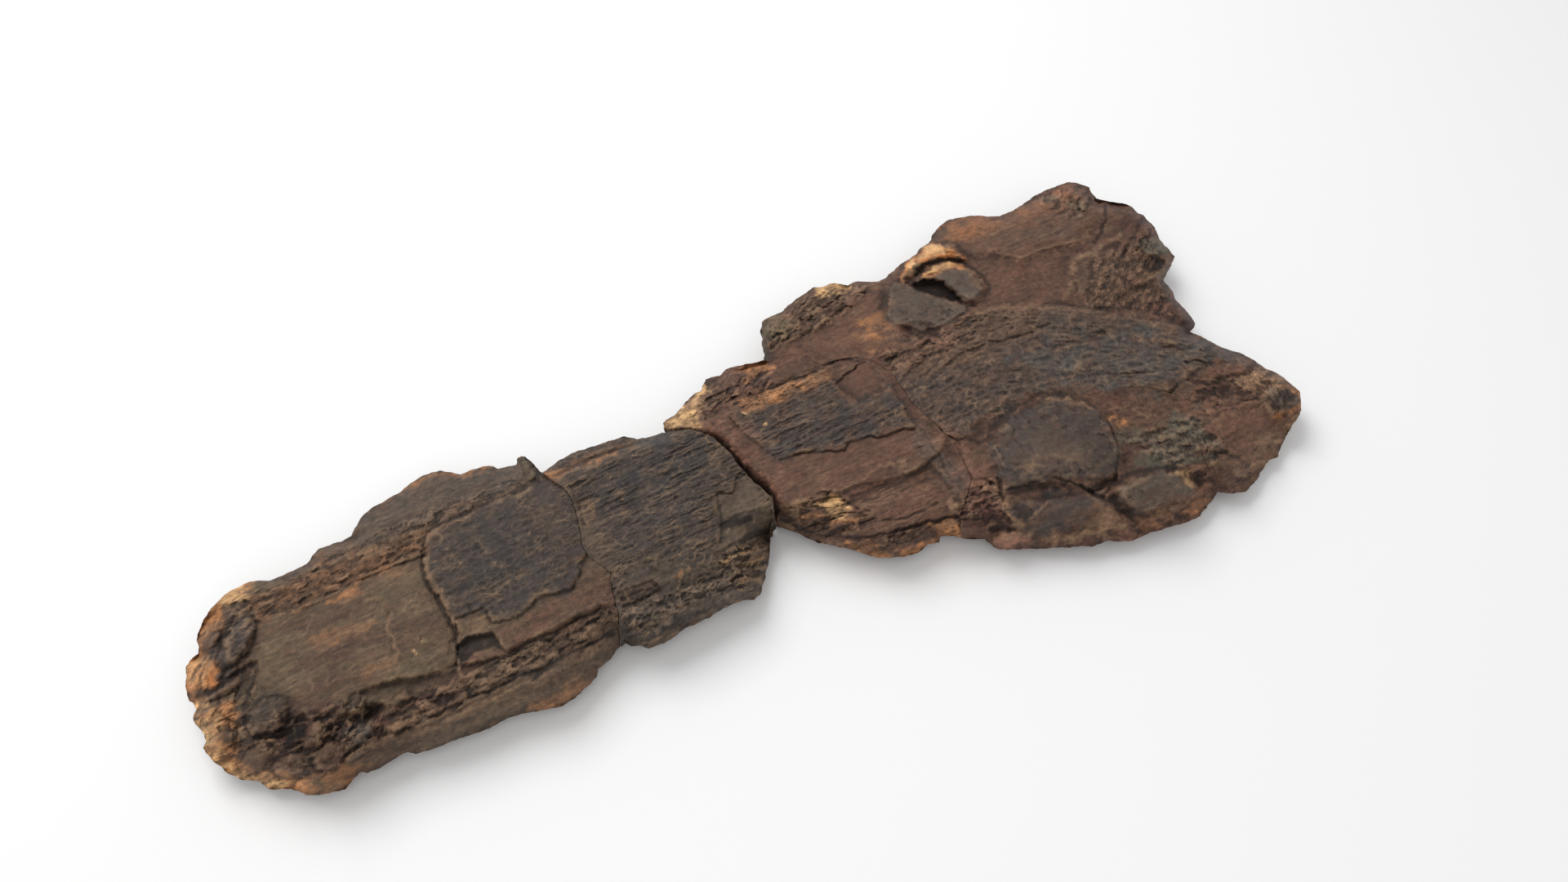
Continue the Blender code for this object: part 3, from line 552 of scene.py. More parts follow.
def topLevel(piece, x, y):
    # bed and relief, falling to the rim's level over each flank's width by (1 - distance / width)^2
    height, crest, tone = reliefOf(piece, x, y)
    rough = 0.45 * octaves(x / 1.7, y, 4.5, 71, 3) + 0.2 * facets(x / 1.6, y, 1.7, 73)
    level = bedLevel(x, y) + height
    for side, start, end, rimLevel, width in piece["flanks"]:
        falling = (1 - np.clip(distanceTo(x, y, piece[side][start:end]) / width, 0, 1)) ** 2
        level += (rimLevel + rough * smoothStep(falling * 3) - level) * falling
        height += (rough - height) * falling
        crest *= 1 - 0.8 * falling
    # nothing stands higher than the slab's greatest thickness
    over = level - greatestLevel
    level = np.where(over > 0, greatestLevel + bandOver * np.tanh(over / bandOver), level)
    return level, height, crest, tone


def polishOf(piece, x, y):
    # how smooth and even the surface is: 0 on rough rock, up to 1 within the outlines of smooth bone
    wx, wy = raggedPoint(x, y, 0.9)
    share = np.zeros(x.shape)
    for outline, strength in piece["polished"]:
        share = np.maximum(share, strength * smoothStep(0.5 + depthInside(wx, wy, outline) / 2))
    return share


def stainsOf(piece, x, y, polish):
    # three of the rock's shades blended by noise, then stains and streaks with ragged mottled edges laid over;
    # some of these stains and streaks are painted shade
    wx, wy = raggedPoint(x, y, 0.9)
    wx, wy = wx + 1.1 * octaves(x, y, 5, 611), wy + 1.1 * octaves(x, y, 5, 612)
    first, second, third = (colourOf(name) for name in piece["shades"])
    broad = smoothStep(0.5 + 0.9 * octaves(x / 1.8, y, 12, 621, 4, 0.6))[:, None]
    narrow = smoothStep(0.45 + 0.9 * octaves(x / 1.8, y, 5, 622, 4, 0.6))[:, None]
    shade = first + (second - first) * broad
    shade += (third - shade) * narrow * 0.6
    mottle = octaves(x / 1.6, y, 4.5, 623, 5, 0.7)
    # thin streaks of lighter and darker rock along the bedding
    streaky = octaves(x / 7, y, 1.5, 625, 3, 0.6) + 0.6 * grains(x / 4, y, 0.55, 626)
    for outline, name, soft, strength in piece["stains"]:
        keep = 1.0 if soft >= cleanStain else 0.2
        depth = depthInside(x + keep * (wx - x), y + keep * (wy - y), outline)
        share = smoothStep(0.5 + depth / (1.8 * soft) + 0.3 * min(soft, 2.2) * mottle)
        share = np.clip(share * (1 + 0.45 * mottle) * strength, 0, 1)[:, None]
        shade += (colourOf(name) - shade) * share
    for line, halfWidth, name, strength in piece["streaks"]:
        share = np.exp(-((distanceTo(wx, wy, line) / halfWidth) ** 2))
        share = np.clip(share * (1 + 0.7 * mottle) * strength, 0, 1)[:, None]
        shade += (colourOf(name) - shade) * share
    speckle = streakContrast * streaky + speckContrast * octaves(x, y, speckSize, 627, 2)
    speckle = (1 - 0.75 * polish) * speckle
    return shade * np.clip(0.95 * piece["light"] + speckle, 0.45, 1.8)[:, None]


def undersideOf(piece, smoothPlan, rows, columns):
    # coarse grid drawn in from the rim on each side, with flats at zero, shallow hollows and a lifted edge
    near, far, front, rear = piece["margins"]
    fineRows, fineColumns = smoothPlan.shape[:2]
    u = (front + (1 - front - rear) * np.linspace(0, 1, rows)) * (fineRows - 1)
    v = (near + (1 - near - far) * np.linspace(0, 1, columns)) * (fineColumns - 1)
    iu, iv = np.minimum(u.astype(int), fineRows - 2), np.minimum(v.astype(int), fineColumns - 2)
    fu, fv = (u - iu)[:, None, None], (v - iv)[None, :, None]
    low = smoothPlan[iu][:, iv] * (1 - fv) + smoothPlan[iu][:, iv + 1] * fv
    high = smoothPlan[iu + 1][:, iv] * (1 - fv) + smoothPlan[iu + 1][:, iv + 1] * fv
    plan = low * (1 - fu) + high * fu
    edge = np.minimum.outer(np.minimum(np.arange(rows), np.arange(rows)[::-1]),
                            np.minimum(np.arange(columns), np.arange(columns)[::-1]))
    x, y = plan[..., 0], plan[..., 1]
    hollow = np.maximum(hollowDepth * (lumps(x, y, 16, 7) + 0.5 * lumps(x, y, 7, 8) - 0.25), leastHollow)
    for (cx, cy), radius in restSpots:
        hollow = hollow * smoothStep((np.hypot(x - cx, y - cy) - radius) / restFade)
    broken = np.maximum(0.5 * facets(x, y, 5, 81) + 0.25 * facets(x, y, 2, 82), 0)
    lift = rimLift * (1 - smoothStep(edge * 3 * piece["spacing"] / liftWidth))
    return plan, hollow * (1 + 0.2 * broken) + brokenDepth * broken * np.clip(hollow * 5, 0, 1) + lift


def wallRings(piece, rimTop, rimBase):
    # each ring is the rim carried down: in by 1 - cos, down by sin, with ledges of the bedding cut in it
    step = np.hypot(*(np.roll(rimTop, -1, 0) - rimTop)[:, :2].T)
    along = np.append(0, np.cumsum(step))[:-1]
    run = np.roll(rimTop, -1, 0) - np.roll(rimTop, 1, 0)
    outward = np.stack([run[:, 1], -run[:, 0]], -1)
    # the outward direction is the mean of those 3 mm to both sides
    width = int(3 / piece["spacing"])
    looped = np.concatenate([outward[-width:], outward, outward[:width]])
    outward = np.stack([np.convolve(looped[:, k], np.ones(2 * width + 1), "valid") for k in (0, 1)], -1)
    outward /= np.hypot(*outward.T)[:, None] + 1e-9
    rings = []
    for row in range(1, piece["wallRows"]):
        t = row / piece["wallRows"]
        ring = rimTop.copy()
        ring[:, :2] += (rimBase - rimTop)[:, :2] * (1 - math.cos(t * math.pi / 2))
        ring[:, 2] += (rimBase - rimTop)[:, 2] * math.sin(t * math.pi / 2)
        z = ring[:, 2] * 1.7 + 0.5 * grains(along, ring[:, 2], 8, 95)
        ledges = 0.5 * facets(along / 4.5, z, 1.4, 91) + 0.3 * facets(along / 2, z, 0.8, 92)
        behind = sideDepth * octaves(along, ring[:, 2], 6, 93)
        depth = math.sin(math.pi * t) ** 1.2 * (ledgeDepth * ledges + behind - undercut)
        ring[:, :2] += outward * depth[:, None]
        ring[:, 2] += 0.1 * grains(along, z, 1.2, 94)
        rings.append(ring)
    return rings


def shellFaces(rows, columns, lowRows, lowColumns, ringCount):
    # corners of all faces, numbered top, underside, rings: squares, and a square between two triangles where the
    # last ring has three runs for each run of the underside's rim
    count, lowCount = rows * columns, lowRows * lowColumns
    index = np.arange(count).reshape(rows, columns)
    low = count + np.arange(lowCount).reshape(lowRows, lowColumns)
    quads = [np.stack([index[:-1, :-1], index[1:, :-1], index[1:, 1:], index[:-1, 1:]], -1).reshape(-1, 4),
             np.stack([low[:-1, :-1], low[:-1, 1:], low[1:, 1:], low[1:, :-1]], -1).reshape(-1, 4)]
    rim, lowRim = rimOf(index), rimOf(low)
    around = np.arange(len(rim))
    ringIndex = [rim] + [count + lowCount + len(rim) * k + around for k in range(ringCount)]
    for upper, lower in zip(ringIndex[:-1], ringIndex[1:]):
        quads.append(np.stack([upper, lower, np.roll(lower, -1), np.roll(upper, -1)], -1))
    last, lowNext = ringIndex[-1].reshape(-1, 3), np.roll(lowRim, -1)
    quads.append(np.stack([last[:, 1], lowRim, lowNext, last[:, 2]], -1))
    threes = [np.stack([last[:, 0], lowRim, last[:, 1]], -1),
              np.stack([last[:, 2], lowNext, np.roll(last[:, 0], -1)], -1)]
    return np.concatenate(quads), np.concatenate(threes)


def masksOf(height, ornamentCrest, x, y, polish, spacing):
    # cavity: how far a point lies under the mean of those round it, near by and further off, laid on as painted
    # shade in the hollows; crest: how far it lies over them, in patches, or the top of a ridge; both from 0 to 1
    reach = round(maskReach / spacing)
    under = smoothed(height, reach) - height
    wider = smoothed(height, 4 * reach) - height
    cavity = np.clip(under / 0.2, 0, 1) * 0.6 + np.clip(wider / 1.2, 0, 1) * 0.45
    patches = smoothStep(0.5 + octaves(x, y, 5, 700)).reshape(height.shape)
    crest = np.maximum(ornamentCrest.reshape(height.shape), np.clip(-under / 0.24, 0, 1) ** 1.5 * patches)
    return cavity, crest * (1 - 0.5 * polish.reshape(height.shape))


def wallStains(piece, rings, rimStain, rimCrest):
    # stain and masks of each ring: the rim's own stain, turning downwards to rock banded along the bedding
    plain, other = colourOf("brownRock"), colourOf(piece["wallShade"])
    stains, masks = [], []
    for row, ring in enumerate(rings):
        t = (row + 1) / piece["wallRows"]
        x, y, z = ring.T
        patchy = octaves(x + y * 0.6, z * 3 - y * 0.5, 6, 97, 3)
        strata = grains((x + y) / 11, z + 0.06 * x, 1.5, 96) + 0.7 * octaves((x - y) / 3, z, 1.4, 94)
        rock = plain + (other - plain) * smoothStep(0.5 + patchy)[:, None]
        rock = rock * np.clip(1 + 0.5 * strata, 0.45, 1.7)[:, None]
        share = smoothStep(t * 4.5 + 0.5 * patchy + 0.3 * strata)[:, None]
        stains.append(rimStain * (1 - share) + rock * share)
        masks.append(np.stack([np.clip(-0.9 * strata - 0.1, 0, 1) * 0.6, rimCrest * max(1 - 6 * t, 0),
                               np.zeros(len(ring))], -1))
    return stains, masks


def undersideStain(piece, x, y):
    # plain rock, with redder patches and spots of the wall's shade laid over, times broken tones
    patchy = smoothStep(0.45 + octaves(x, y, 14, 98, 4, 0.6))[:, None]
    spotty = smoothStep(octaves(x, y, 6, 99, 3) * 2 - 0.3)[:, None]
    stain = colourOf("brownRock") + (colourOf("redPlate") - colourOf("brownRock")) * patchy
    stain = stain + (colourOf(piece["wallShade"]) - stain) * spotty * 0.7
    broken = (0.4 * octaves(x / 1.4, y, 11, 88, 5, 0.65) + 0.22 * facets(x, y, 5, 81)
              + 0.2 * facets(x, y, 2, 82))
    return stain * np.clip(0.95 + broken, 0.4, 1.7)[:, None]


def makeMesh(name, points, quads, threes, stains, masks):
    # a mesh in metres from points in millimetres, with the stain and the masks kept on its points
    mesh = bpy.data.meshes.new(name)
    mesh.vertices.add(len(points))
    mesh.vertices.foreach_set("co", (points * metresPerMillimetre).ravel())
    corners = np.concatenate([quads.ravel(), threes.ravel()])
    starts = np.concatenate([np.arange(len(quads)) * 4, len(quads) * 4 + np.arange(len(threes)) * 3])
    mesh.loops.add(len(corners))
    mesh.loops.foreach_set("vertex_index", corners)
    mesh.polygons.add(len(starts))
    mesh.polygons.foreach_set("loop_start", starts)
    mesh.polygons.foreach_set("use_smooth", np.ones(len(starts), bool))
    mesh.update(calc_edges=True)
    mesh.validate()
    colours = mesh.attributes.new("stain", "FLOAT_COLOR", "POINT")
    colours.data.foreach_set("color", np.column_stack([stains, np.ones(len(stains))]).ravel())
    for mask, values in zip(("cavity", "crest", "polish"), masks.T):
        mesh.attributes.new(mask, "FLOAT", "POINT").data.foreach_set("value", np.clip(values, 0, 1))
    return mesh


def buildFragment(piece):
    # one fragment as a closed shell: a grid over its outline for the top, one a third as fine for the underside,
    # and rings of the rim between them
    name, spacing = piece["name"], piece["spacing"]
    sideLength = [np.hypot(*np.diff(np.array(piece[side], float), axis=0).T).sum()
                  for side in ("near", "far", "front", "rear")]
    rows = 3 * int(max(sideLength[:2]) / spacing / 3) + 1
    columns = 3 * int(max(sideLength[2:]) / spacing / 3) + 1
    seen = blendPatch(evenPoints(piece["front"], columns), evenPoints(piece["rear"], columns),
                      evenPoints(piece["near"], rows), evenPoints(piece["far"], rows))
    x, y = raggedPoint(seen[..., 0].ravel(), seen[..., 1].ravel(), 0.2)
    level, height, crest, tone = topLevel(piece, x, y)
    top = np.column_stack([placePoints(np.stack([x, y], -1), level), level]).reshape(rows, columns, 3)

    polish = polishOf(piece, x, y)
    cavity, crest = masksOf(height.reshape(rows, columns), crest, x, y, polish, spacing)
    stain = stainsOf(piece, x, y, polish) * np.clip(1 + 0.75 * tone, 0.5, 1.8)[:, None]
    stain = stain.reshape(rows, columns, 3)

    smoothPlan = blendPatch(top[0, :, :2], top[-1, :, :2], top[:, 0, :2], top[:, -1, :2])
    lowRows, lowColumns = (rows - 1) // 3 + 1, (columns - 1) // 3 + 1
    base = np.dstack(undersideOf(piece, smoothPlan, lowRows, lowColumns))
    # three points for each run of the underside's rim, as many as the top's rim has
    lowRim = rimOf(base)
    nextRim = np.roll(lowRim, -1, 0)
    rimBase = np.stack([lowRim + (nextRim - lowRim) * k / 3 for k in range(3)], 1).reshape(-1, 3)
    rings = wallRings(piece, rimOf(top), rimBase)
    quads, threes = shellFaces(rows, columns, lowRows, lowColumns, len(rings))

    ringStains, ringMasks = wallStains(piece, rings, rimOf(stain), rimOf(crest))
    baseStain = undersideStain(piece, base[..., 0].ravel(), base[..., 1].ravel())
    stains = np.concatenate([stain.reshape(-1, 3), baseStain, *ringStains])
    masks = np.concatenate([np.stack([cavity.ravel(), crest.ravel(), polish], -1), np.zeros((len(baseStain), 3)),
                            *ringMasks])
    points = np.concatenate([top.reshape(-1, 3), base.reshape(-1, 3), *rings])
    points[:, 2] = np.maximum(points[:, 2], 0)
    points[:, :2] -= slabCentre

    mesh = makeMesh(name, points, quads, threes, stains, masks)
    made = bpy.data.objects.new(name + "_fine", mesh)
    bpy.context.scene.collection.objects.link(made)
    mesh.materials.append(fossilMaterial(piece))
    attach(made, "root")
    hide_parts(name)
    triangles = 2 * len(quads) + len(threes)
    print(f"{name}: {rows} x {columns} grid, {triangles} triangles, {level.max():.1f} mm high")


# Joins, and bone layers that run from one fragment to the next

joinTipMiddle = [(72.8, -28.6), (73.3, -26.7), (73.9, -24.4), (75.3, -21.7), (75.8, -18.9), (76.4, -15.6),
                 (76.9, -12.2), (77.8, -10.6), (75, -4.4), (75, 0), (76.1, 5.6), (76.9, 8.9), (77.2, 15),
                 (73.9, 23.2)]
joinFaceBack = [(153.1, -39.8), (154, -37), (156.3, -33.8), (161, -30), (164.5, -26), (165.3, -22),
                (167.2, -15), (165.9, -11.9), (165.9, -7.5), (165, -4.4), (164.4, 0.6), (164.7, 5), (165, 10),
                (164.1, 14.4), (162.5, 17.5), (160, 20.1), (156.3, 21.6), (150, 22.2), (149.1, 25),
                (147.5, 27.5), (145, 29.3), (137.2, 29.7)]
joinGap = 0.10
tipRear, middleFront = beside(joinTipMiddle, -joinGap / 2), beside(joinTipMiddle, joinGap / 2)
faceRear, backFront = beside(joinFaceBack, -joinGap / 2), beside(joinFaceBack, joinGap / 2)

ledgeEdge = [(45, 19.4), (43.3, 16.7), (41.9, 14.4), (41, 10), (41.1, 6.7), (41.7, 2.2), (41.9, -1.1),
             (42.5, -5.6), (43.1, -9.4), (42.2, -11.1), (41.9, -13.9), (40.8, -16.7)]
snoutLayer = ledgeEdge + [(50, -18.6), (62, -18.2), (76, -18), (86, -19.5), (100, -20), (110, -16),
                          (126, -14), (126, 19), (110, 19), (90, 20.5), (60, 20.5)]
snoutFlake = ledgeEdge[:7] + [(43.6, -5.3), (49.7, -5.3), (49.6, -7.8), (50.3, -10), (53.3, -10.8),
                              (56.1, -11.4), (58.9, -10), (61.7, -8.3), (64.4, -9.2), (68.3, -10.3),
                              (70.8, -9.4), (71.7, -7.8), (71.9, -5.3), (73.9, -3.9), (75.6, -2.2), (80, -8),
                              (92, -15), (104, -16), (107.5, -4.4), (111.9, -3.8), (114.1, 0.6), (126, 1),
                              (126, 19), (90, 20.5), (60, 20.5)]
farChips = [(5, 12.5), (42, 13.5), (46, 20), (74, 21), (74, 25), (28, 25), (-6, 22), (-8, 12)]
nearChips = [(-11, -6), (-1, -4), (8, -12), (26, -19), (76, -18.5), (76, -25), (26, -26), (5, -28), (-8, -19)]

# pink bruise and swelling along the join between the face and the back of the skull
joinBruise = [(161.4, -8), (168, -8), (168, -34), (161.6, -34), (163, -22)]
joinSwell = ((161.5, -13), (3.2, 8.0), -4, 0.6)

# curves that the ridges of the bone follow
snoutRun = [(-10, -1), (60, 1), (120, 3)]
faceRun = [(118, 0), (140, 1), (166, 2)]
roofRun = [(160, -2), (180, 1), (200, -3), (220, -12), (252, -30)]
nearRun = [(158, -44), (185, -50), (220, -54)]


# Snout tip

tipPlate = [(1, 12), (3, -4), (14, -12), (22, -13), (40, -16), (41, 12.5), (30, 13)]
tanChip = [(45.1, -10.5), (47.3, -5.5), (50.6, -9.6), (49, -12)]
greyBlock = [(16, -20), (21, -20), (21.5, -23), (17, -23.5)]
plateVein = [(13.9, -8.5), (17.1, -8.3), (24.5, -8.9)]

snoutTip = {
    "name": "snout_tip", "light": 0.94, "spacing": 0.30, "wallRows": 20, "ragged": 0.34,
    "front": [(-6.9, -17.2), (-8.6, -14.2), (-9.6, -11.9), (-10, -10.3), (-9.3, -8.9), (-9.3, -7.5),
              (-10.3, -5), (-10.9, -2.5), (-10, -0.8), (-10.1, 0.8), (-10.9, 1.7), (-11, 4.4), (-10.8, 7.2),
              (-10.3, 9.7), (-9.4, 10.6), (-7.4, 11.4), (-6.9, 13.1), (-7.2, 15), (-6.4, 16.9), (-5, 18.9),
              (-2.9, 20.6)],
    "near": [(-6.9, -17.2), (-5, -20), (-1.4, -22.8), (0, -25), (3.9, -26.9), (6.4, -29.9), (9.4, -31.1),
             (13.1, -31.8), (14.7, -30.8), (16.8, -29.9), (17.8, -30.8), (20.6, -30.9), (25.8, -30.2),
             (27.5, -31.4), (31.1, -32.1), (36, -32.4), (41.7, -33), (47, -32.8), (50, -33.6), (54.2, -35),
             (57, -35.4), (60, -34.9), (63.3, -33.9), (65.3, -32.9), (66.9, -31.3), (69.7, -30.4),
             (71.4, -29.3)] + tipRear[:1],
    "far": [(-2.9, 20.6), (-3.2, 21.9), (-1.7, 23.1), (0, 24.3), (5, 25), (7.5, 24.4), (9.4, 23.2),
            (12.8, 23.3), (17.8, 23.7), (18.9, 24.4), (20, 25.6), (21.1, 26.5), (26, 26.1), (28.9, 26.5),
            (30, 28.3), (31.4, 30), (32.5, 31.1), (35, 32.1), (37.2, 32.4), (40, 33.1), (42.2, 33.6),
            (45, 34.9), (46.7, 35.4), (50.3, 35.7), (51.9, 35.3), (54.2, 33.6), (56.1, 31.9), (60, 31.7),
            (62.2, 31.4), (64, 30.6), (64.7, 29.3), (69, 28.5), (70.1, 30.1), (71.1, 30.3), (71.8, 29.7),
            (72.8, 26.7), (73, 24.7)] + tipRear[-1:],
    "rear": tipRear,
    "margins": (0.16, 0.12, 0.08, 0.003),
    # outline, rise and width of the edge
    "layers": [
        (snoutLayer, 1.1, 0.45), (snoutFlake, 0.45, 0.5),
        ([(41.0, -18.6), (41.6, -12.1), (44.5, -10.8), (49.6, -12.6), (50.6, -18.2), (47.9, -19.3)], -0.75, 0.3),
        ([(41.0, -16.6), (41.6, -12.1), (44.5, -10.8), (49.6, -12.6), (50.5, -17.8), (49.0, -15.8),
          (44.7, -15.3)], -0.45, 0.3),
        (tanChip, -0.3, 0.3),
        ([(21, -13.6), (25.6, -13.6), (29.4, -14.5), (35, -16.1), (40, -17.4), (40, -21), (37, -24), (30, -24),
          (24, -23), (20.5, -19)], -1.5, 1.2),
        ([(1, 13), (2, 0), (8, -8), (14, -12), (21.4, -13.3), (25.6, -13.3), (29.4, -14.2), (35, -15.8),
          (40.5, -16.5), (41, 12.5), (30, 13.2), (20, 12.6)], 0.5, 4.0),
        ([(12, 12.4), (18, 9.5), (27, 10.4), (28.5, 12.6), (20, 12.8)], -0.35, 0.5),
        ([(29.4, -8), (30.3, -3), (30.8, 2), (29, 9), (41, 11), (42, -8), (39, -14), (33, -12)], 0.22, 0.35),
        ([(50, -12), (57, -12.5), (63, -10), (71, -11.5), (76, -12), (76, -17.5), (62, -17.8), (50, -18)],
         0.2, 0.6),
        ([(-11.5, 1.7), (-3.6, 3), (-4.5, 9), (-10.5, 10.5)], 0.6, 0.8), (greyBlock, 0.9, 0.7),
        ([(24, -17.6), (29, -16.6), (30.5, -18.6), (26.5, -19.6)], 0.9, 0.6),
        ([(23, -22), (33, -21.6), (35, -24.4), (25, -24.6)], 0.8, 0.6),
    ],
    # centre, half lengths, turn in degrees and rise
    "mounds": [
        ((0.3, 10.6), (6.4, 3.0), 52, 2.3), ((2.8, -9.4), (4.4, 4.0), 0, 2.8),
        ((10.6, -17.8), (3.0, 2.8), 0, 2.4), ((11.9, -23.6), (3.3, 2.8), 0, 2.3), ((-5, 14), (2.6, 2.2), 0, 1.3),
        ((-5, 1.4), (4.5, 2.0), 0, 1.2), ((-6.8, -10.6), (3.0, 2.2), 0, 1.3), ((-1, -17.5), (3.4, 2.8), 20, 1.9),
        ((4.5, -22), (3.2, 2.6), 0, 1.9), ((19, -18.6), (6.0, 2.6), 0, -2.0), ((6, -14), (4.0, 3.0), 30, -1.2),
        ((71.6, 26.2), (1.8, 4.2), -8, 2.2), ((8.5, -15.6), (2.0, 2.6), 0, -0.9), ((52, -29.5), (13, 3), 0, 0.7),
        ((38, -28.8), (9, 2.6), 0, 0.5),
    ],
    # line, half width and rise
    "lines": [
        ([(x - 0.4, y) for x, y in ledgeEdge], 0.28, -0.55),
        ([(21.4, -13.4), (25.6, -13.4), (29.4, -14.3), (35, -15.9), (40.5, -16.7)], 0.4, -0.7),
        ([(28.6, 8.9), (30.3, 5.6), (30.8, 1.1), (29.7, -3.3), (29.2, -7.2)], 0.3, -0.15),
        ([(30.8, 1.6), (29.6, -2), (30.4, -7.9), (28.5, -10.9)], 0.35, 0.22), (plateVein, 0.4, 0.18),
        ([(43.6, -5.6), (49.5, -5.7), (50.4, -10.4), (56.1, -11.8), (61.7, -8.8), (68.3, -10.7), (71.9, -7.8),
          (75.4, -2.8)], 0.35, -0.5),
        ([(25, -25.4), (40, -25), (58, -25.3), (72, -24.8)], 0.4, -0.7),
        ([(28, -27.6), (44, -27.4), (60, -27.6), (70, -27)], 0.5, 0.35),
        ([(50, -18.4), (62, -18), (75, -17.6)], 0.45, -0.6), ([(54, -21.2), (62, -21), (75, -20.4)], 0.35, -0.4),
        ([(20, 13.4), (31, 13.7), (42, 13.6)], 0.3, -0.7), ([(22, 15.6), (32, 15.3), (41, 15.8)], 0.3, -0.5),
        ([(38.5, 17.9), (42.5, 17.5)], 0.45, -1.0),
        ([(43.5, -1), (46.5, -2.2), (47, -3.5), (46.8, -5)], 0.3, -0.7),
        ([(-9, 1.5), (-3, 2.6), (2, 4)], 0.8, -1.0), ([(70.6, 23.4), (73, 20.2)], 0.5, -1.0),
        ([(-6, -4), (-3, -8), (-4.5, -13)], 0.5, -0.8), ([(-8, 11.4), (-4, 11), (-2.5, 14)], 0.4, -0.7),
    ],
    # outline, size and height of the chips, and the turn of the bedding in degrees
    "chipped": [
        (farChips, 2.8, 0.36, 4), (nearChips, 2.8, 0.55, 0),
        ([(-11, -6), (-9, 18), (2, 18), (3.5, 4), (3, -4)], 3.6, 0.34, 60),
        ([(13, -13), (22, -13), (24, -25), (10, -27), (8, -18)], 2.6, 0.6, 20),
    ],
    # outline, kind, length and width of the ridges, their height, and the curve that they follow
    "ornament": [
        (snoutFlake, "net", 5, 1.0, 0.28, snoutRun), (snoutFlake, "pits", 1.5, 1.5, 0.2, snoutRun),
        (tipPlate, "net", 5, 2.2, 0.14, snoutRun), (tipPlate, "ridges", 12, 0.9, 0.05, snoutRun),
        ([(24, 20), (72, 22), (72, 34), (46, 36), (30, 28)], "ridges", 9, 0.9, 0.13, [(24, 22), (70, 27)]),
        ([(26, -26), (72, -25.5), (70, -31), (56, -36), (26, -32)], "ridges", 10, 0.9, 0.13, snoutRun),
    ],
    # outline of smooth bone and how smooth it is
    "polished": [(tipPlate, 0.35)],
    "shades": ("oliveBone", "brownRock", "greyRock"), "wallShade": "greyRock",
    # outline, colour, softness and strength
    "stains": [
        ([(6, 12), (8, -4), (14, -12), (22, -13), (40, -16), (41, 12.5), (30, 13)], "oliveBone", 3.0, 0.5),
        (snoutFlake, "darkBone", 1.2, 0.9),
        ([(45, 13), (58, 16), (68, 8), (64, -6), (48, -3)], "blueBlack", 4.0, 0.45),
        ([(8, 12), (20, 10.6), (28, 8.4), (28.6, 4.6), (18, 5.4), (9, 8)], "darkRed", 1.6, 0.55),
        ([(9, 3.6), (18, 1), (29, -0.6), (28, -4), (18, -3), (9, -1)], "darkRed", 1.8, 0.6),
        ([(14, 5), (24, 3), (28, 1.6), (25, 0), (15, 2.4)], "ochre", 1.6, 0.35),
        ([(32, 10), (38, 10.4), (39, 8), (34, 6.6)], "tan", 1.6, 0.5),
        ([(21, -7), (28, -8.4), (30, -10.6), (22, -10)], "ochre", 1.6, 0.35),
        ([(9, -4), (16, -6), (26, -9), (24, -12), (12, -9)], "darkRed", 2.0, 0.45),
        ([(30, 9), (40, 10.6), (40.6, 5), (33, 1)], "olive", 2.5, 0.5),
        ([(28, -11), (38, -9.6), (39.6, -15), (30, -14)], "olive", 2.0, 0.5),
        ([(31, -1), (40, -1), (40, -6), (32, -7)], "darkRed", 2.0, 0.4),
        ([(50, -11.5), (57, -12), (63, -9.5), (71, -11), (78, -11), (77, -18.5), (50, -18.5)],
         "redPlate", 1.5, 0.6),
        (nearChips, "brownRock", 2.0, 0.6), (farChips, "brownRock", 2.0, 0.6),
        ([(6, 13), (40, 14), (46, 18), (28, 23), (4, 20)], "ochre", 3.0, 0.22),
        ([(24, 24), (45, 22), (72, 23), (73, 30), (50, 36), (30, 30)], "greyBone", 2.0, 0.7),
        ([(26, -26), (73, -26), (70, -32), (56, -36), (20, -32)], "greyRock", 2.0, 0.7),
        ([(18, 11.6), (21, 10.3), (27, 10.4), (27.5, 12.8)], "ochre", 1.0, 0.75),
        ([(-4.5, 20), (3.5, 21.5), (3.5, 26), (-1, 26), (-5, 22)], "cream", 1.5, 0.85),
        ([(3, 22.4), (8.5, 22.4), (8.5, 26), (3, 26)], "olive", 1.5, 0.7),
        ([(-8, 14.5), (-2, 15.5), (-1.5, 20.5), (-7, 20)], "ochre", 1.2, 0.85),
        ([(-12, 1.7), (-3.6, 3), (-4.5, 9), (-10.5, 10.8)], "orange", 1.0, 0.85),
        ([(-10.8, 4), (-8.8, 3.4), (-4.6, 7.4), (-4.6, 9.6), (-8.6, 10.6), (-10.6, 9.4)], "cream", 1.2, 0.45),
        ([(-12, -1), (-3.5, -2), (-3, -9), (-10.5, -8.6)], "ochre", 1.5, 0.9),
        ([(-11, -3), (-7.5, -3), (-7, -8.5), (-10.5, -8)], "cream", 1.5, 0.6),
        ([(-10.5, -11.6), (-4, -11.6), (-4.5, -16), (-8, -18)], "ochre", 1.2, 0.8),
        ([(4, -27), (16.5, -27.5), (17, -33), (5, -32)], "ochre", 1.6, 0.55),
        ([(51, -33), (66, -32), (67, -36), (51, -36)], "ochre", 2.0, 0.35),
        ([(-7.5, 11.6), (-3, 12), (-2.6, 16.5), (-7, 16)], "crack", 1.2, 0.6),
        ([(-10, 0.2), (1, 1.5), (2, 4.4), (-4, 3), (-10, 1.6)], "crack", 1.0, 0.75),
        ([(-10.5, -8.6), (-3.5, -8.6), (-4, -11.6), (-10.5, -11.8)], "crack", 1.2, 0.65),
        ([(-4.5, 5), (-1, 4), (5, 14), (3, 17.5), (-1, 14)], "darkBone", 1.2, 0.9),
        ([(-2.6, 9.4), (-0.8, 9.8), (-0.9, 11.6), (-2.4, 11)], "tan", 0.8, 0.6),
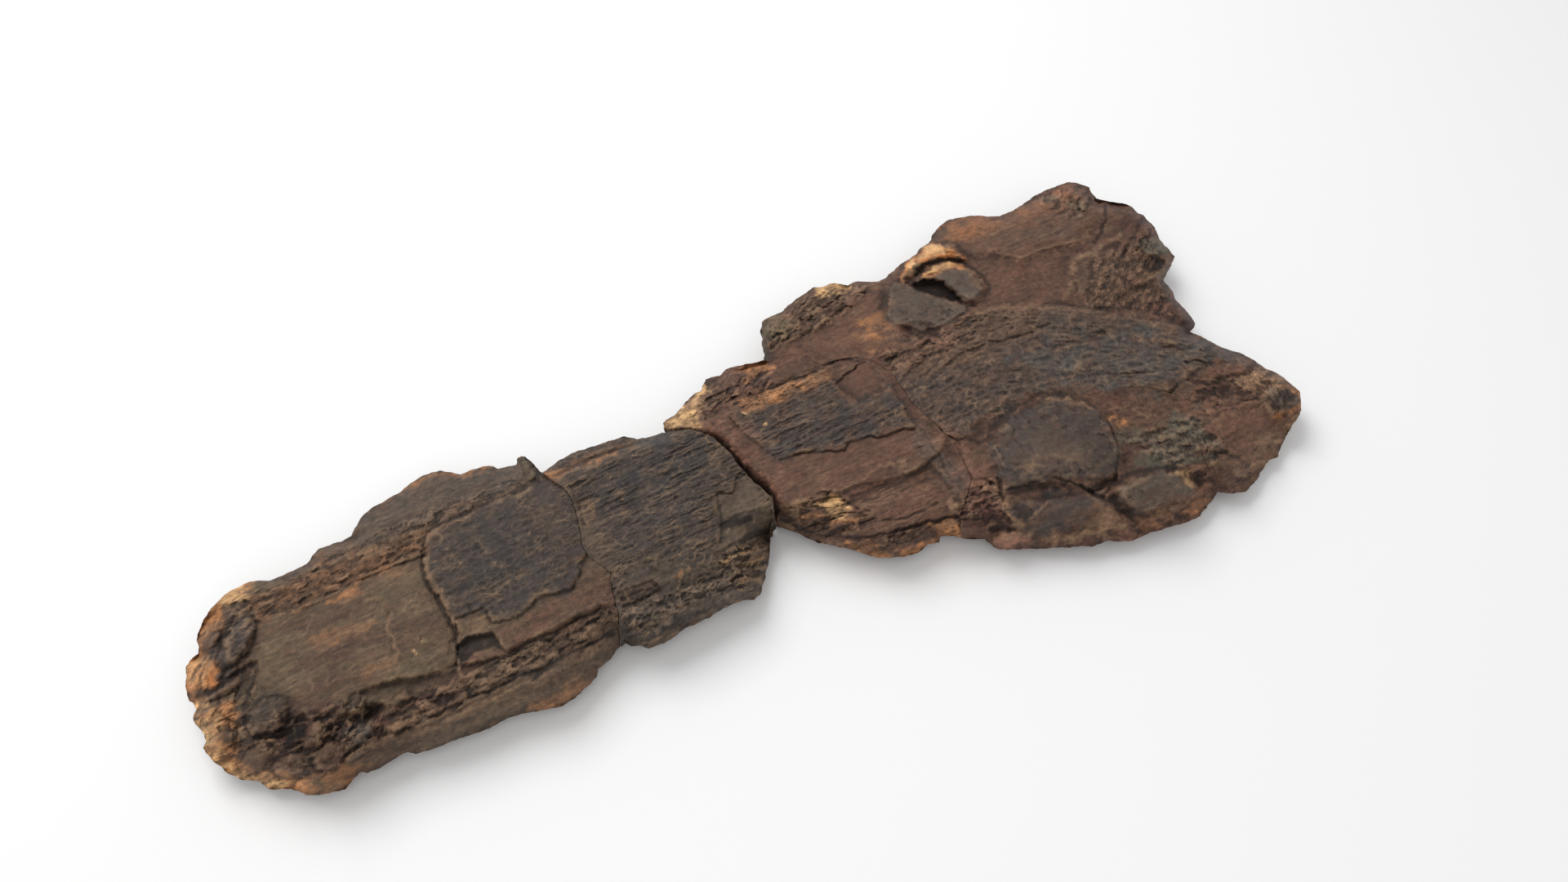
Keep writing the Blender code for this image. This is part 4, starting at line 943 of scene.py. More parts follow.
        # the next darkRed stain and the two crack stains after it are painted shade in the hollows by the near
        # boulders
        ([(4.5, -10.5), (16, -11), (15, -20.5), (4, -20)], "darkRed", 2.0, 0.5),
        ([(5.6, -14), (8.4, -14), (7.6, -19), (5.2, -18.4)], "crack", 0.7, 0.8),
        ([(14, -16.6), (22.5, -16), (22, -24), (14, -24)], "crack", 2.0, 0.25), (greyBlock, "blueGrey", 1.0, 0.7),
        ([(-1.6, -5.6), (7, -5.6), (7.4, -13.4), (-1.6, -13)], "darkBone", 1.4, 0.6),
        ([(9, -21), (15, -21), (15, -26.4), (9, -26.4)], "redPlate", 1.4, 0.7),
        # painted shade: the dark band in the gap between the two raised blocks
        ([(21, -19.6), (34, -19.6), (35, -21.8), (22, -22)], "darkRed", 1.0, 0.7),
        ([(24, -22), (33.5, -21.8), (35, -24.4), (25, -24.6)], "tan", 1.0, 0.7),
        ([(25.4, -17.2), (28.4, -17), (28.6, -19), (25.6, -19.2)], "tan", 0.8, 0.8),
        ([(41.2, -16.4), (44.7, -15.5), (49, -16), (50.1, -18), (47.9, -19.3), (41.4, -18.6)],
         "redPlate", 0.4, 0.8),
        # painted shade: the steep facet cut into the ledge, laid in the crack colour
        ([(41.2, -16.6), (42, -12.1), (44.5, -10.9), (49.6, -12.7), (50.4, -17.9), (49.1, -15.9), (44.7, -15.5)],
         "crack", 0.3, 0.85),
        (tanChip, "tan", 0.3, 0.6), ([(70, 22), (72, 22), (70.5, 30.4), (69.4, 29.4)], "olive", 0.8, 0.8),
        # painted shadow on the right of the upstanding stub
        ([(71.8, 22), (75, 22), (73, 30.4), (71.6, 30)], "crack", 0.8, 0.75),
    ],
    # line, half width, colour and strength
    "streaks": [
        ([(38, 33), (45, 34.6), (50.3, 35.4), (54.2, 33.6), (60, 31.8), (65, 30.6)], 0.9, "ochre", 0.6),
        ([(-10.3, -1), (-9.6, -6), (-8.8, -12), (-6.4, -17.4), (-3, -21.4), (1.5, -25.4), (6, -29.6)],
         2.1, "ochre", 0.95),
        ([(-10.6, -1), (-10, -5), (-9.4, -9)], 1.6, "cream", 0.9),
        ([(-8.6, -13), (-5.6, -19), (-1, -23), (3.4, -27)], 1.2, "cream", 0.75),
        ([(-8, 0), (-6, -4), (-6.4, -8)], 0.7, "cream", 0.5),
        ([(-7.6, 12), (-6.6, 17), (-3.4, 20.6), (-1, 23.6), (5, 25)], 1.6, "ochre", 0.7),
        ([(14, 3), (24, 2.5), (36, 4)], 0.7, "redPlate", 0.5),
        ([(18, -4), (27, -6), (36, -6.5)], 0.7, "redPlate", 0.45), ([(-0.5, 23.6), (3, 24.6)], 1.4, "cream", 0.6),
        ([(36.1, -8), (36.4, -8)], 0.35, "cream", 0.6), ([(33, -9.6), (33.3, -9.6)], 0.3, "cream", 0.5),
        ([(30.6, 1.6), (29.4, -2), (30.2, -7.9), (28.3, -10.9)], 0.3, "tan", 0.7),
        ([(24.8, -7.7), (27, -7.5), (30.2, -7.9)], 0.3, "tan", 0.6), (plateVein, 0.35, "tan", 0.5),
        ([(28, -27.6), (44, -27.4), (70, -27)], 0.5, "tan", 0.5),
        ([(28.6, 8.9), (30.3, 5.6), (30.8, 1.1), (29.7, -3.3)], 0.35, "tan", 0.6),
        ([(50, -25.4), (60, -25.4), (72, -24.8)], 0.6, "crack", 0.8),
        ([(42.1, 14.4), (41.3, 10), (41.4, 6.7), (42, 2.2), (42.3, -2), (43, -8)], 0.3, "tan", 0.5),
    ],
    "finish": {**stoneFinish},
    # side and its first and last points, level of the slab's rim there and width over which the top falls to it
    "flanks": [("near", 0, None, 3.2, 9.0), ("front", 0, None, 6.5, 5.0), ("far", 0, 14, 9.0, 4.0),
               ("far", 13, None, 8.0, 11.0)],
}
buildFragment(snoutTip)


# Snout middle

smoothCorner = [(106, -2.4), (118.4, -1), (118.6, -9.8), (106.6, -10)]
redNotch = [(77, -16.2), (85.6, -16.6), (86, -20), (81, -21), (77, -20.4)]
rearStep = [(113.8, -10.5), (118.5, -9.5), (120, -10.5), (117.5, -13), (115, -15.5), (113, -14.5)]

snoutMiddle = {
    "name": "snout_middle", "light": 0.93, "spacing": 0.25, "wallRows": 22, "ragged": 0.30,
    "front": middleFront,
    "near": middleFront[:1] + [(74.2, -28.3), (74.7, -29.6), (76.4, -30.1), (77.7, -31.7), (81.7, -32.2),
                               (84.2, -31.9), (85.8, -31.1), (92.5, -31.1), (96.3, -30.3), (100.6, -30.6),
                               (103.4, -31.6), (105, -31.1), (106.4, -30), (108.8, -26.9), (110.6, -24.4),
                               (112.6, -20.6), (113.4, -16.9), (115.3, -16.4)],
    "far": middleFront[-1:] + [(76.4, 23.9), (78.6, 24.6), (82.2, 25.4), (83.9, 25.6), (85.6, 24.9),
                               (90.6, 24.7), (95.6, 24.1), (97.5, 22.2), (100, 21.3), (104.4, 20.9)],
    "rear": [(115.3, -16.4), (116.9, -15), (118, -12.5), (119.4, -9.1), (118.8, -6.6), (117.8, -3.8),
             (117.2, 0), (116.6, 2.5), (116.6, 6.3), (115.9, 9.4), (115, 12.5), (114.1, 15), (112.5, 16.9),
             (110.6, 18.8), (108.1, 19.6), (104.4, 20.9)],
    "margins": (0.14, 0.12, 0.006, 0.006),
    "layers": [
        (snoutLayer, 1.1, 3.5), (snoutFlake, 0.45, 4.0),
        ([(115.9, 0.6), (114.1, -0.6), (111.9, -3.8), (108.1, -1.9), (107.5, -4.4), (106.6, -8.8), (105, -10.6),
          (118, -10), (118.5, -3)], -0.45, 0.4),
        ([(105, -10.3), (113.8, -10.3), (113, -12.5), (104, -11.9)], -0.5, 0.7), (rearStep, -0.5, 0.6),
        (redNotch, -0.55, 0.5), ([(86, -12.6), (97, -13.5), (103, -12), (103, -17.5), (92, -18.5)], 0.3, 0.6),
        ([(100, -17), (112, -15), (113, -21), (107, -24), (101, -22.6)], -0.4, 0.5),
    ],
    "mounds": [((92, -26), (12, 3.4), 0, 0.7), ((107, -24), (4, 4), 30, -0.7), ((80, -27), (4, 2.6), 0, 0.6)],
    "lines": [
        ([(77, -18.3), (81, -18), (85.5, -18.5)], 0.35, -0.6),
        ([(77, -20), (82, -20.2), (85.5, -20)], 0.35, -0.6),
        ([(115.9, 0.6), (114.1, -0.6), (111.9, -3.8), (108.1, -1.9), (107.5, -4.4), (106.6, -8.8), (105, -10.6),
          (103.4, -15)], 0.32, -0.5),
        ([(74, 20.4), (86, 21.6), (98, 20.8)], 0.5, -0.6), ([(105, -10.4), (113.8, -10.3)], 0.35, -0.5),
        ([(78.6, 16), (77.9, 9), (77.4, 4)], 0.3, -0.3),
    ],
    "chipped": [
        ([(76, -21), (100, -22), (113, -18), (113, -25), (104, -32), (78, -32), (74, -28)], 2.2, 0.42, 2),
        ([(74, 21.5), (98, 21.8), (98, 25), (80, 26.5)], 2.8, 0.45, 0),
        ([(99, -18), (113, -16.5), (113, -24), (102, -28)], 1.8, 0.42, -10),
    ],
    "ornament": [
        ([(77, -10), (92, -14), (104, -15), (107, -5), (112, -3.6), (119, 1), (116, 19), (96, 20.5), (77, 19.6)],
         "ridges", 16, 1.0, 0.40, snoutRun),
        ([(77, -8), (92, -14), (104, -15), (107, -5), (112, -3.6), (119, 1), (116, 19), (96, 20.5), (77, 19.6)],
         "net", 4, 1.0, 0.2, snoutRun),
        ([(74, -8), (92, -12), (102, -11), (104, -22), (88, -30), (75, -29)], "net", 3, 1.3, 0.42, snoutRun),
        ([(106, -3), (118, -1), (118, -10), (106, -10)], "ridges", 8, 0.8, 0.14, snoutRun),
    ],
    "polished": [(smoothCorner, 0.5)],
    "shades": ("greyBone", "darkBone", "olive"), "wallShade": "greenGrey",
    "stains": [
        ([(78, -8), (92, -14), (104, -15), (107, -5), (112, -3.6), (119, 1), (116, 19), (96, 20.5), (78, 19.6)],
         "darkBone", 2.0, 0.85),
        ([(82, 4), (96, 2), (112, 6), (114, 14), (98, 18), (84, 14)], "blueBlack", 5.0, 0.6),
        ([(84, -6), (100, -8), (104, -2), (90, 0)], "blueBlack", 4.0, 0.4),
        ([(74.5, -14), (79, -13), (79.4, 2), (79.6, 15), (77, 19), (74, 18)], "greyRock", 2.0, 0.75),
        ([(99, -18.4), (113, -16.4), (113, -24), (104, -31), (100, -26)], "tan", 1.6, 0.4),
        (redNotch, "darkRed", 1.0, 0.7),
        ([(75, -16), (86, -18), (100, -19), (112, -22), (104, -32), (75, -31)], "greyBone", 3.0, 0.55),
        (smoothCorner, "greyRock", 1.2, 0.75),
        # painted shade on the sunken wedge
        ([(105, -10.3), (113.8, -10.3), (113, -12.8), (104, -12.2)], "crack", 0.8, 0.7),
        (rearStep, "olive", 0.8, 0.7), ([(73, 20), (96, 20.6), (96, 22.4), (74, 22.4)], "ochre", 1.4, 0.55),
        ([(76, 22.6), (98, 21.6), (97, 25), (80, 26.5)], "brownRock", 1.2, 0.8),
    ],
    "streaks": [
        ([(90, -18.7), (90.8, -18.5)], 0.6, "ochre", 0.9),
        ([(101, -19.6), (106, -19), (111, -19.4)], 0.6, "cream", 0.35),
        ([(103, -23.4), (107, -23), (110.6, -22.6)], 0.5, "cream", 0.3),
        ([(102, -27), (106, -27.6)], 0.5, "cream", 0.3),
        ([(112, 17.6), (115.4, 12.6), (117, 6)], 0.5, "tan", 0.5),
        ([(79, -31.6), (92, -31), (104, -31.2)], 1.0, "tan", 0.4),
        ([(77.4, -18.4), (85, -18.4)], 0.4, "crack", 0.6), ([(80.5, 9.6), (80, 5)], 0.5, "tan", 0.6),
    ],
    "finish": {**stoneFinish, "rubbing": 0.8},
    "flanks": [("near", 0, None, 3.8, 7.0), ("far", 0, None, 9.5, 4.0)],
}
buildFragment(snoutMiddle)


# Face

nearBone = [(121, -4), (134, -1.6), (142, -5), (160, -7), (161, -15.6), (140, -15), (122, -13)]
farBone = [(150.6, 7), (160.6, 8.4), (161.5, 17), (151, 14.4)]
cheekHollow = [(136, -17), (150, -19), (158, -18), (159, -30), (152, -33), (140, -31), (134, -27)]
cheekCrack = [(117.5, -15.6), (125, -24), (131, -28), (140, -31), (150, -32.5), (155, -34)]
farCrack = [(150.6, 21.9), (155, 21.5), (160.6, 20.4)]
paleVein = [(141, -14.4), (145, -13.4), (149.4, -14), (154.4, -14.9)]
faceRoof = [(113, 19.5), (115, 8), (117, -12), (121.3, -13.6), (127.5, -15), (139.4, -15.6), (145, -17.8),
            (155, -18.6), (163.8, -15.6), (170, -8), (170, 10), (162, 18), (150, 20.6), (127, 21)]
faceBone = [(121, 18), (124, 6), (126, 0), (130, -0.5), (133.8, -1.3), (137.5, -2.5), (140, -4.3),
            (141.6, -4.7), (143.1, -3.4), (149.4, -3.6), (150.6, -5.3), (156.3, -5.6), (160.6, -7.2), (162, 0),
            (162, 7), (156.3, 6.9), (152.5, 5.9), (150.3, 14.4), (148, 20.5), (135, 21)]

face = {
    "name": "face", "light": 1.0, "spacing": 0.27, "wallRows": 22, "ragged": 0.30,
    "front": [(116.6, -16.9), (117.3, -15.4), (118.6, -14), (119.8, -11.6), (120.2, -8.8), (119.9, -5.4),
              (118.8, -3.2), (118.1, 0), (117.8, 3.8), (116.9, 7.5), (116.6, 10.4), (115.8, 13.3),
              (114.5, 15.2), (113.1, 17), (111.2, 19.2), (108.2, 20.5), (105.2, 21.7)],
    "near": [(116.6, -16.9), (118.1, -18.2), (120, -20.6), (121.9, -23.8), (124.4, -26.6), (127.5, -29.4),
             (130, -31.9), (133.1, -35.3), (136.3, -37), (138.8, -37.7), (141.9, -38.2), (145, -37.4),
             (147.5, -38), (148.8, -37), (151.3, -38.1)] + faceRear[:1],
    "far": [(105.2, 21.7), (105.6, 23.8), (110, 25), (113.1, 26.9), (116.6, 28.6), (118.8, 29.1), (120, 30.9),
            (121.3, 31.9), (125, 31.4), (126.9, 32.2), (129.1, 32.4), (130.8, 32), (130.9, 30.5),
            (136.3, 30.1)] + faceRear[-1:],
    "rear": faceRear,
    "margins": (0.18, 0.12, 0.006, 0.006),
    "layers": [
        (faceRoof, 0.8, 1.6), (faceBone, 0.5, 0.6), (cheekHollow, -0.6, 1.4),
        ([(150.3, 14.4), (154.7, 16.3), (158.8, 17.5), (160.6, 17.8), (161.9, 12.5), (160.6, 8.1), (156.3, 6.9),
          (152.5, 5.9), (150.9, 9.4)], -0.35, 0.5),
        ([(124, -14.6), (134, -15.6), (136, -22), (128, -25), (122, -19)], -0.5, 0.6),
        ([(127.5, -29), (135, -29.8), (136, -36), (131, -33.5)], -0.4, 0.7),
        ([(149, -33), (154, -33.6), (154, -37.6), (150, -37)], 0.5, 0.6),
        ([(121, -9), (134, -10), (146, -12), (160, -13), (160, -15.6), (140, -14.8), (124, -13.4)], -0.2, 0.5),
        ([(104, 19), (116, 19.5), (117, 28), (110, 26), (104, 23)], 0.4, 0.7),
        ([(116, 14), (122, 14), (123, 21), (116, 22)], -0.35, 0.6),
    ],
    "mounds": [
        joinSwell, ((156.3, -31.2), (1.6, 1.9), 20, 0.4), ((147, -24.5), (9, 4.5), -5, 0.5),
        ((128, -19), (4, 2.4), -20, 0.7), ((133, -22), (3, 2), 10, 0.6),
    ],
    "lines": [
        ([(127.5, -15), (139.4, -15.6), (142.5, -16.9), (145, -17.8), (150, -18.4), (155, -18.6), (160, -17.2),
          (163.8, -15.6)], 0.35, -0.25),
        ([(130, -0.7), (133.8, -1.5), (137.5, -2.7), (140, -4.5), (141.6, -4.9), (143.1, -3.6), (149.4, -3.8),
          (150.6, -5.5), (156.3, -5.8), (160.6, -7.4)], 0.32, -0.55),
        (cheekCrack, 0.45, -0.9), (farCrack, 0.45, -1.0),
        ([(150.3, 14.6), (154.7, 16.5), (158.8, 17.7), (160.8, 17.9)], 0.32, -0.7), (paleVein, 0.3, 0.2),
        ([(119, -13.6), (127, -14.6)], 0.4, -0.4), ([(124, 20.6), (135, 21.2), (148, 20.8)], 0.4, -0.6),
        ([(116, 25), (127, 26.4), (137, 27)], 0.4, -0.6), ([(138, -20), (146, -22), (155, -21.6)], 0.3, -0.3),
        ([(136.6, -26), (144, -29), (153, -29)], 0.3, -0.35),
        ([(160, -8), (161.4, -16), (159.6, -26)], 0.35, -0.35),
    ],
    "chipped": [
        ([(118, -13), (134, -13), (138, -26), (126, -28), (120, -20)], 3.4, 0.6, -12),
        ([(124, -27), (140, -31), (156, -34), (160, -41), (150, -38), (134, -36)], 3.0, 0.55, -4),
        ([(104, 21), (122, 22), (136, 22), (137, 30), (121, 32), (106, 24)], 3.2, 0.5, 22),
        ([(125, 17), (148, 17), (149, 22), (125, 22)], 2.6, 0.3, 4),
        ([(157, -30), (169, -28), (168, -41), (152, -40), (155, -34)], 2.4, 0.45, -20),
    ],
    "ornament": [
        (faceBone, "ridges", 14, 1.1, 0.36, faceRun), (faceBone, "net", 4, 1.0, 0.22, faceRun),
        ([(121, -5), (134, -2), (142, -6), (160, -8), (161, -15), (140, -14), (124, -12)],
         "ridges", 12, 0.8, 0.09, faceRun),
        (cheekHollow, "ridges", 12, 0.9, 0.10, faceRun),
    ],
    "polished": [(nearBone, 0.4), (farBone, 0.6)],
    "shades": ("redPlate", "brownRock", "darkRed"), "wallShade": "darkRed",
    "stains": [
        (faceBone, "darkBone", 1.8, 0.8),
        ([(126, 2), (140, -1), (158, -3), (158, 4), (140, 10), (128, 12)], "blueBlack", 4.0, 0.5),
        (nearBone, "redPlate", 1.5, 0.8), ([(119, 14.5), (120, -3), (124.4, -3), (124, 14)], "pink", 2.5, 0.3),
        ([(115.5, 14), (122.5, 14), (123, 22), (115, 22)], "pink", 2.0, 0.45),
        ([(104, 19), (116, 19.5), (118, 29), (104, 26)], "tan", 1.6, 0.8),
        ([(107.6, 18), (114.4, 18.6), (114, 24.4), (107, 23.6)], "cream", 1.6, 0.75),
        ([(115, 27), (121.4, 27), (121.6, 32), (117, 30)], "cream", 1.2, 0.7),
        ([(121, 22), (137, 22), (138, 27), (122, 28)], "redPlate", 1.6, 0.8),
        ([(129.6, 26.6), (138, 27), (138, 30.8), (130, 31)], "ochre", 1.2, 0.7),
        ([(125, 16.4), (150, 16.4), (150, 21), (125, 21.4)], "ochre", 0.9, 0.42),
        ([(132.5, 17.6), (140.5, 17.6), (140.5, 20.6), (132.5, 20.6)], "ochre", 1.4, 0.5),
        (farBone, "redPlate", 1.0, 0.75),
        ([(136, -17.6), (150, -19.4), (158, -18.6), (159, -30), (152, -33), (140, -31), (134.6, -27)],
         "redPlate", 1.4, 0.7),
        ([(119, -12.6), (134, -13.6), (137, -20), (134, -27), (124, -25)], "brownRock", 2.6, 0.6),
        ([(128, -15.6), (133.4, -16), (134.6, -21.6), (130.6, -22.4)], "cream", 0.9, 0.6),
        ([(121, -13), (127, -13.6), (127.5, -17), (122, -17)], "tan", 1.2, 0.6),
        ([(127.2, -29.2), (135.2, -29.8), (136, -36.6), (129, -33)], "ochre", 1.0, 0.75),
        ([(148.6, -33), (154.4, -33.2), (154.4, -38.6), (149, -38)], "ochre", 1.2, 0.7),
        ([(155.2, -29), (156.6, -29), (157.8, -33), (154.6, -33)], "tan", 0.45, 0.85),
        ([(158, -7.6), (163.8, -7.6), (163.6, -28), (158.6, -28)], "blueGrey", 2.2, 0.4),
        (joinBruise, "pink", 2.2, 0.35),
        ([(154.6, -33), (162, -32), (162, -41), (154, -40)], "darkRed", 1.0, 0.8),
    ],
    "streaks": [
        ([(133, -36.4), (138, -37.6), (145, -37.4), (156, -38.4)], 1.2, "ochre", 0.95),
        ([(117.2, -17.4), (121.9, -23.8), (127.5, -29.4), (131, -32.6)], 0.8, "tan", 0.5),
        ([(114.2, 17), (116.6, 13), (118, 7), (119, 0), (120.9, -6), (120.6, -11)], 1.1, "pink", 0.75),
        (paleVein, 0.35, "tan", 0.9), ([(125.6, 16.3), (125.9, 16.3)], 0.5, "cream", 1.0),
        # the crack-coloured streak along cheekCrack is painted shadow under the ledge there
        ([(127.5, 11.6), (127.8, 11.6)], 0.4, "cream", 1.0), (cheekCrack, 0.7, "crack", 0.6),
        (farCrack, 0.5, "crack", 0.9), ([(123, -17.4), (128, -20.4), (133, -24.6)], 0.6, "ochre", 0.6),
        ([(120.6, -12.2), (127, -13), (134, -13.6)], 0.6, "tan", 0.6),
    ],
    "finish": {**stoneFinish, "contrast": 3.2, "rubbing": 0.65, "bump": 0.8},
    "flanks": [("front", 0, 13, 12.0, 3.0), ("near", 0, None, 3.2, 8.0), ("far", 0, 12, 9.0, 7.0),
               ("far", 11, None, 9.0, 3.0)],
}
buildFragment(face)


# Back of the skull

farCheek = [(152, 23.6), (174, 19), (176, 30), (180, 40), (166, 37), (150, 31)]
nearCheek = [(190, -47), (198, -45), (204, -46), (210, -50), (209, -53.6), (192, -53)]
darkChip = [(231, -32.5), (236, -32.5), (235.5, -34.8), (231.5, -34.8)]
roofCrack = [(226.5, 5.5), (231, 3.5), (234, 0.5)]
rearCrack = [(235, -21.5), (238, -22.4), (240.5, -25)]
skullRoof = [(160, 9), (160, -8), (170, -15), (176, -14), (193, -12), (203, -16), (210, -20), (224, -27),
             (240, -30), (251, -30), (246, -18), (243.3, -13.4), (242, -10.5), (239.5, -7), (235, -4.5),
             (230, 1), (225.5, 5), (220, 10), (215, 13), (207, 17), (196, 19), (182, 16), (168, 13)]
orbitLeaf = [(183.5, 39.5), (180, 37), (175, 30), (174.8, 25.5), (177, 23.5), (180, 20.5), (184.5, 19.5),
             (189, 20), (195, 21.5), (196, 22.8), (194.5, 25.5), (190, 29.5), (187.5, 35), (186, 37.5)]
nearOrbit = [(172, -24), (177, -18.5), (185, -15), (193, -14), (200, -17), (203.5, -23), (203.5, -32),
             (201, -37), (197, -41.5), (189, -41), (183, -36.5), (176, -34.3), (170, -33.5)]
eyeball = [(190.9, 37.5), (194.8, 40.3), (200, 39.8), (203.8, 37.1), (205.2, 31.9), (203.5, 26.2), (200.1, 23.4),
           (197.5, 23.5), (196, 27.4), (195.2, 32.5), (193.2, 35.8)]
orbitRim = [(185.4, 38.6), (185.8, 40.3), (190.9, 45.2), (195.9, 47.5), (198.1, 48.9), (201.2, 48.1),
            (204.3, 46.4),
            (205.8, 44.3), (206.3, 38.5), (203.6, 40.6), (200, 42.2), (196.4, 42.9), (191.7, 41.9), (187.4, 39.4)]
farPlate = [(200, 45), (205, 50.5), (211, 53), (218, 51.5), (228, 48), (240, 50), (252, 50.5), (254, 46),
            (253, 36), (245, 32), (239.5, 29.8), (231.5, 31.3), (227, 32.6), (225, 31.8), (220.5, 31.4),
            (218, 33.5), (215.8, 36), (209, 40)]
nearRearPlate = [(225, -40), (236, -38), (243, -40), (245, -47), (238, -51), (228, -54.5), (224, -50)]

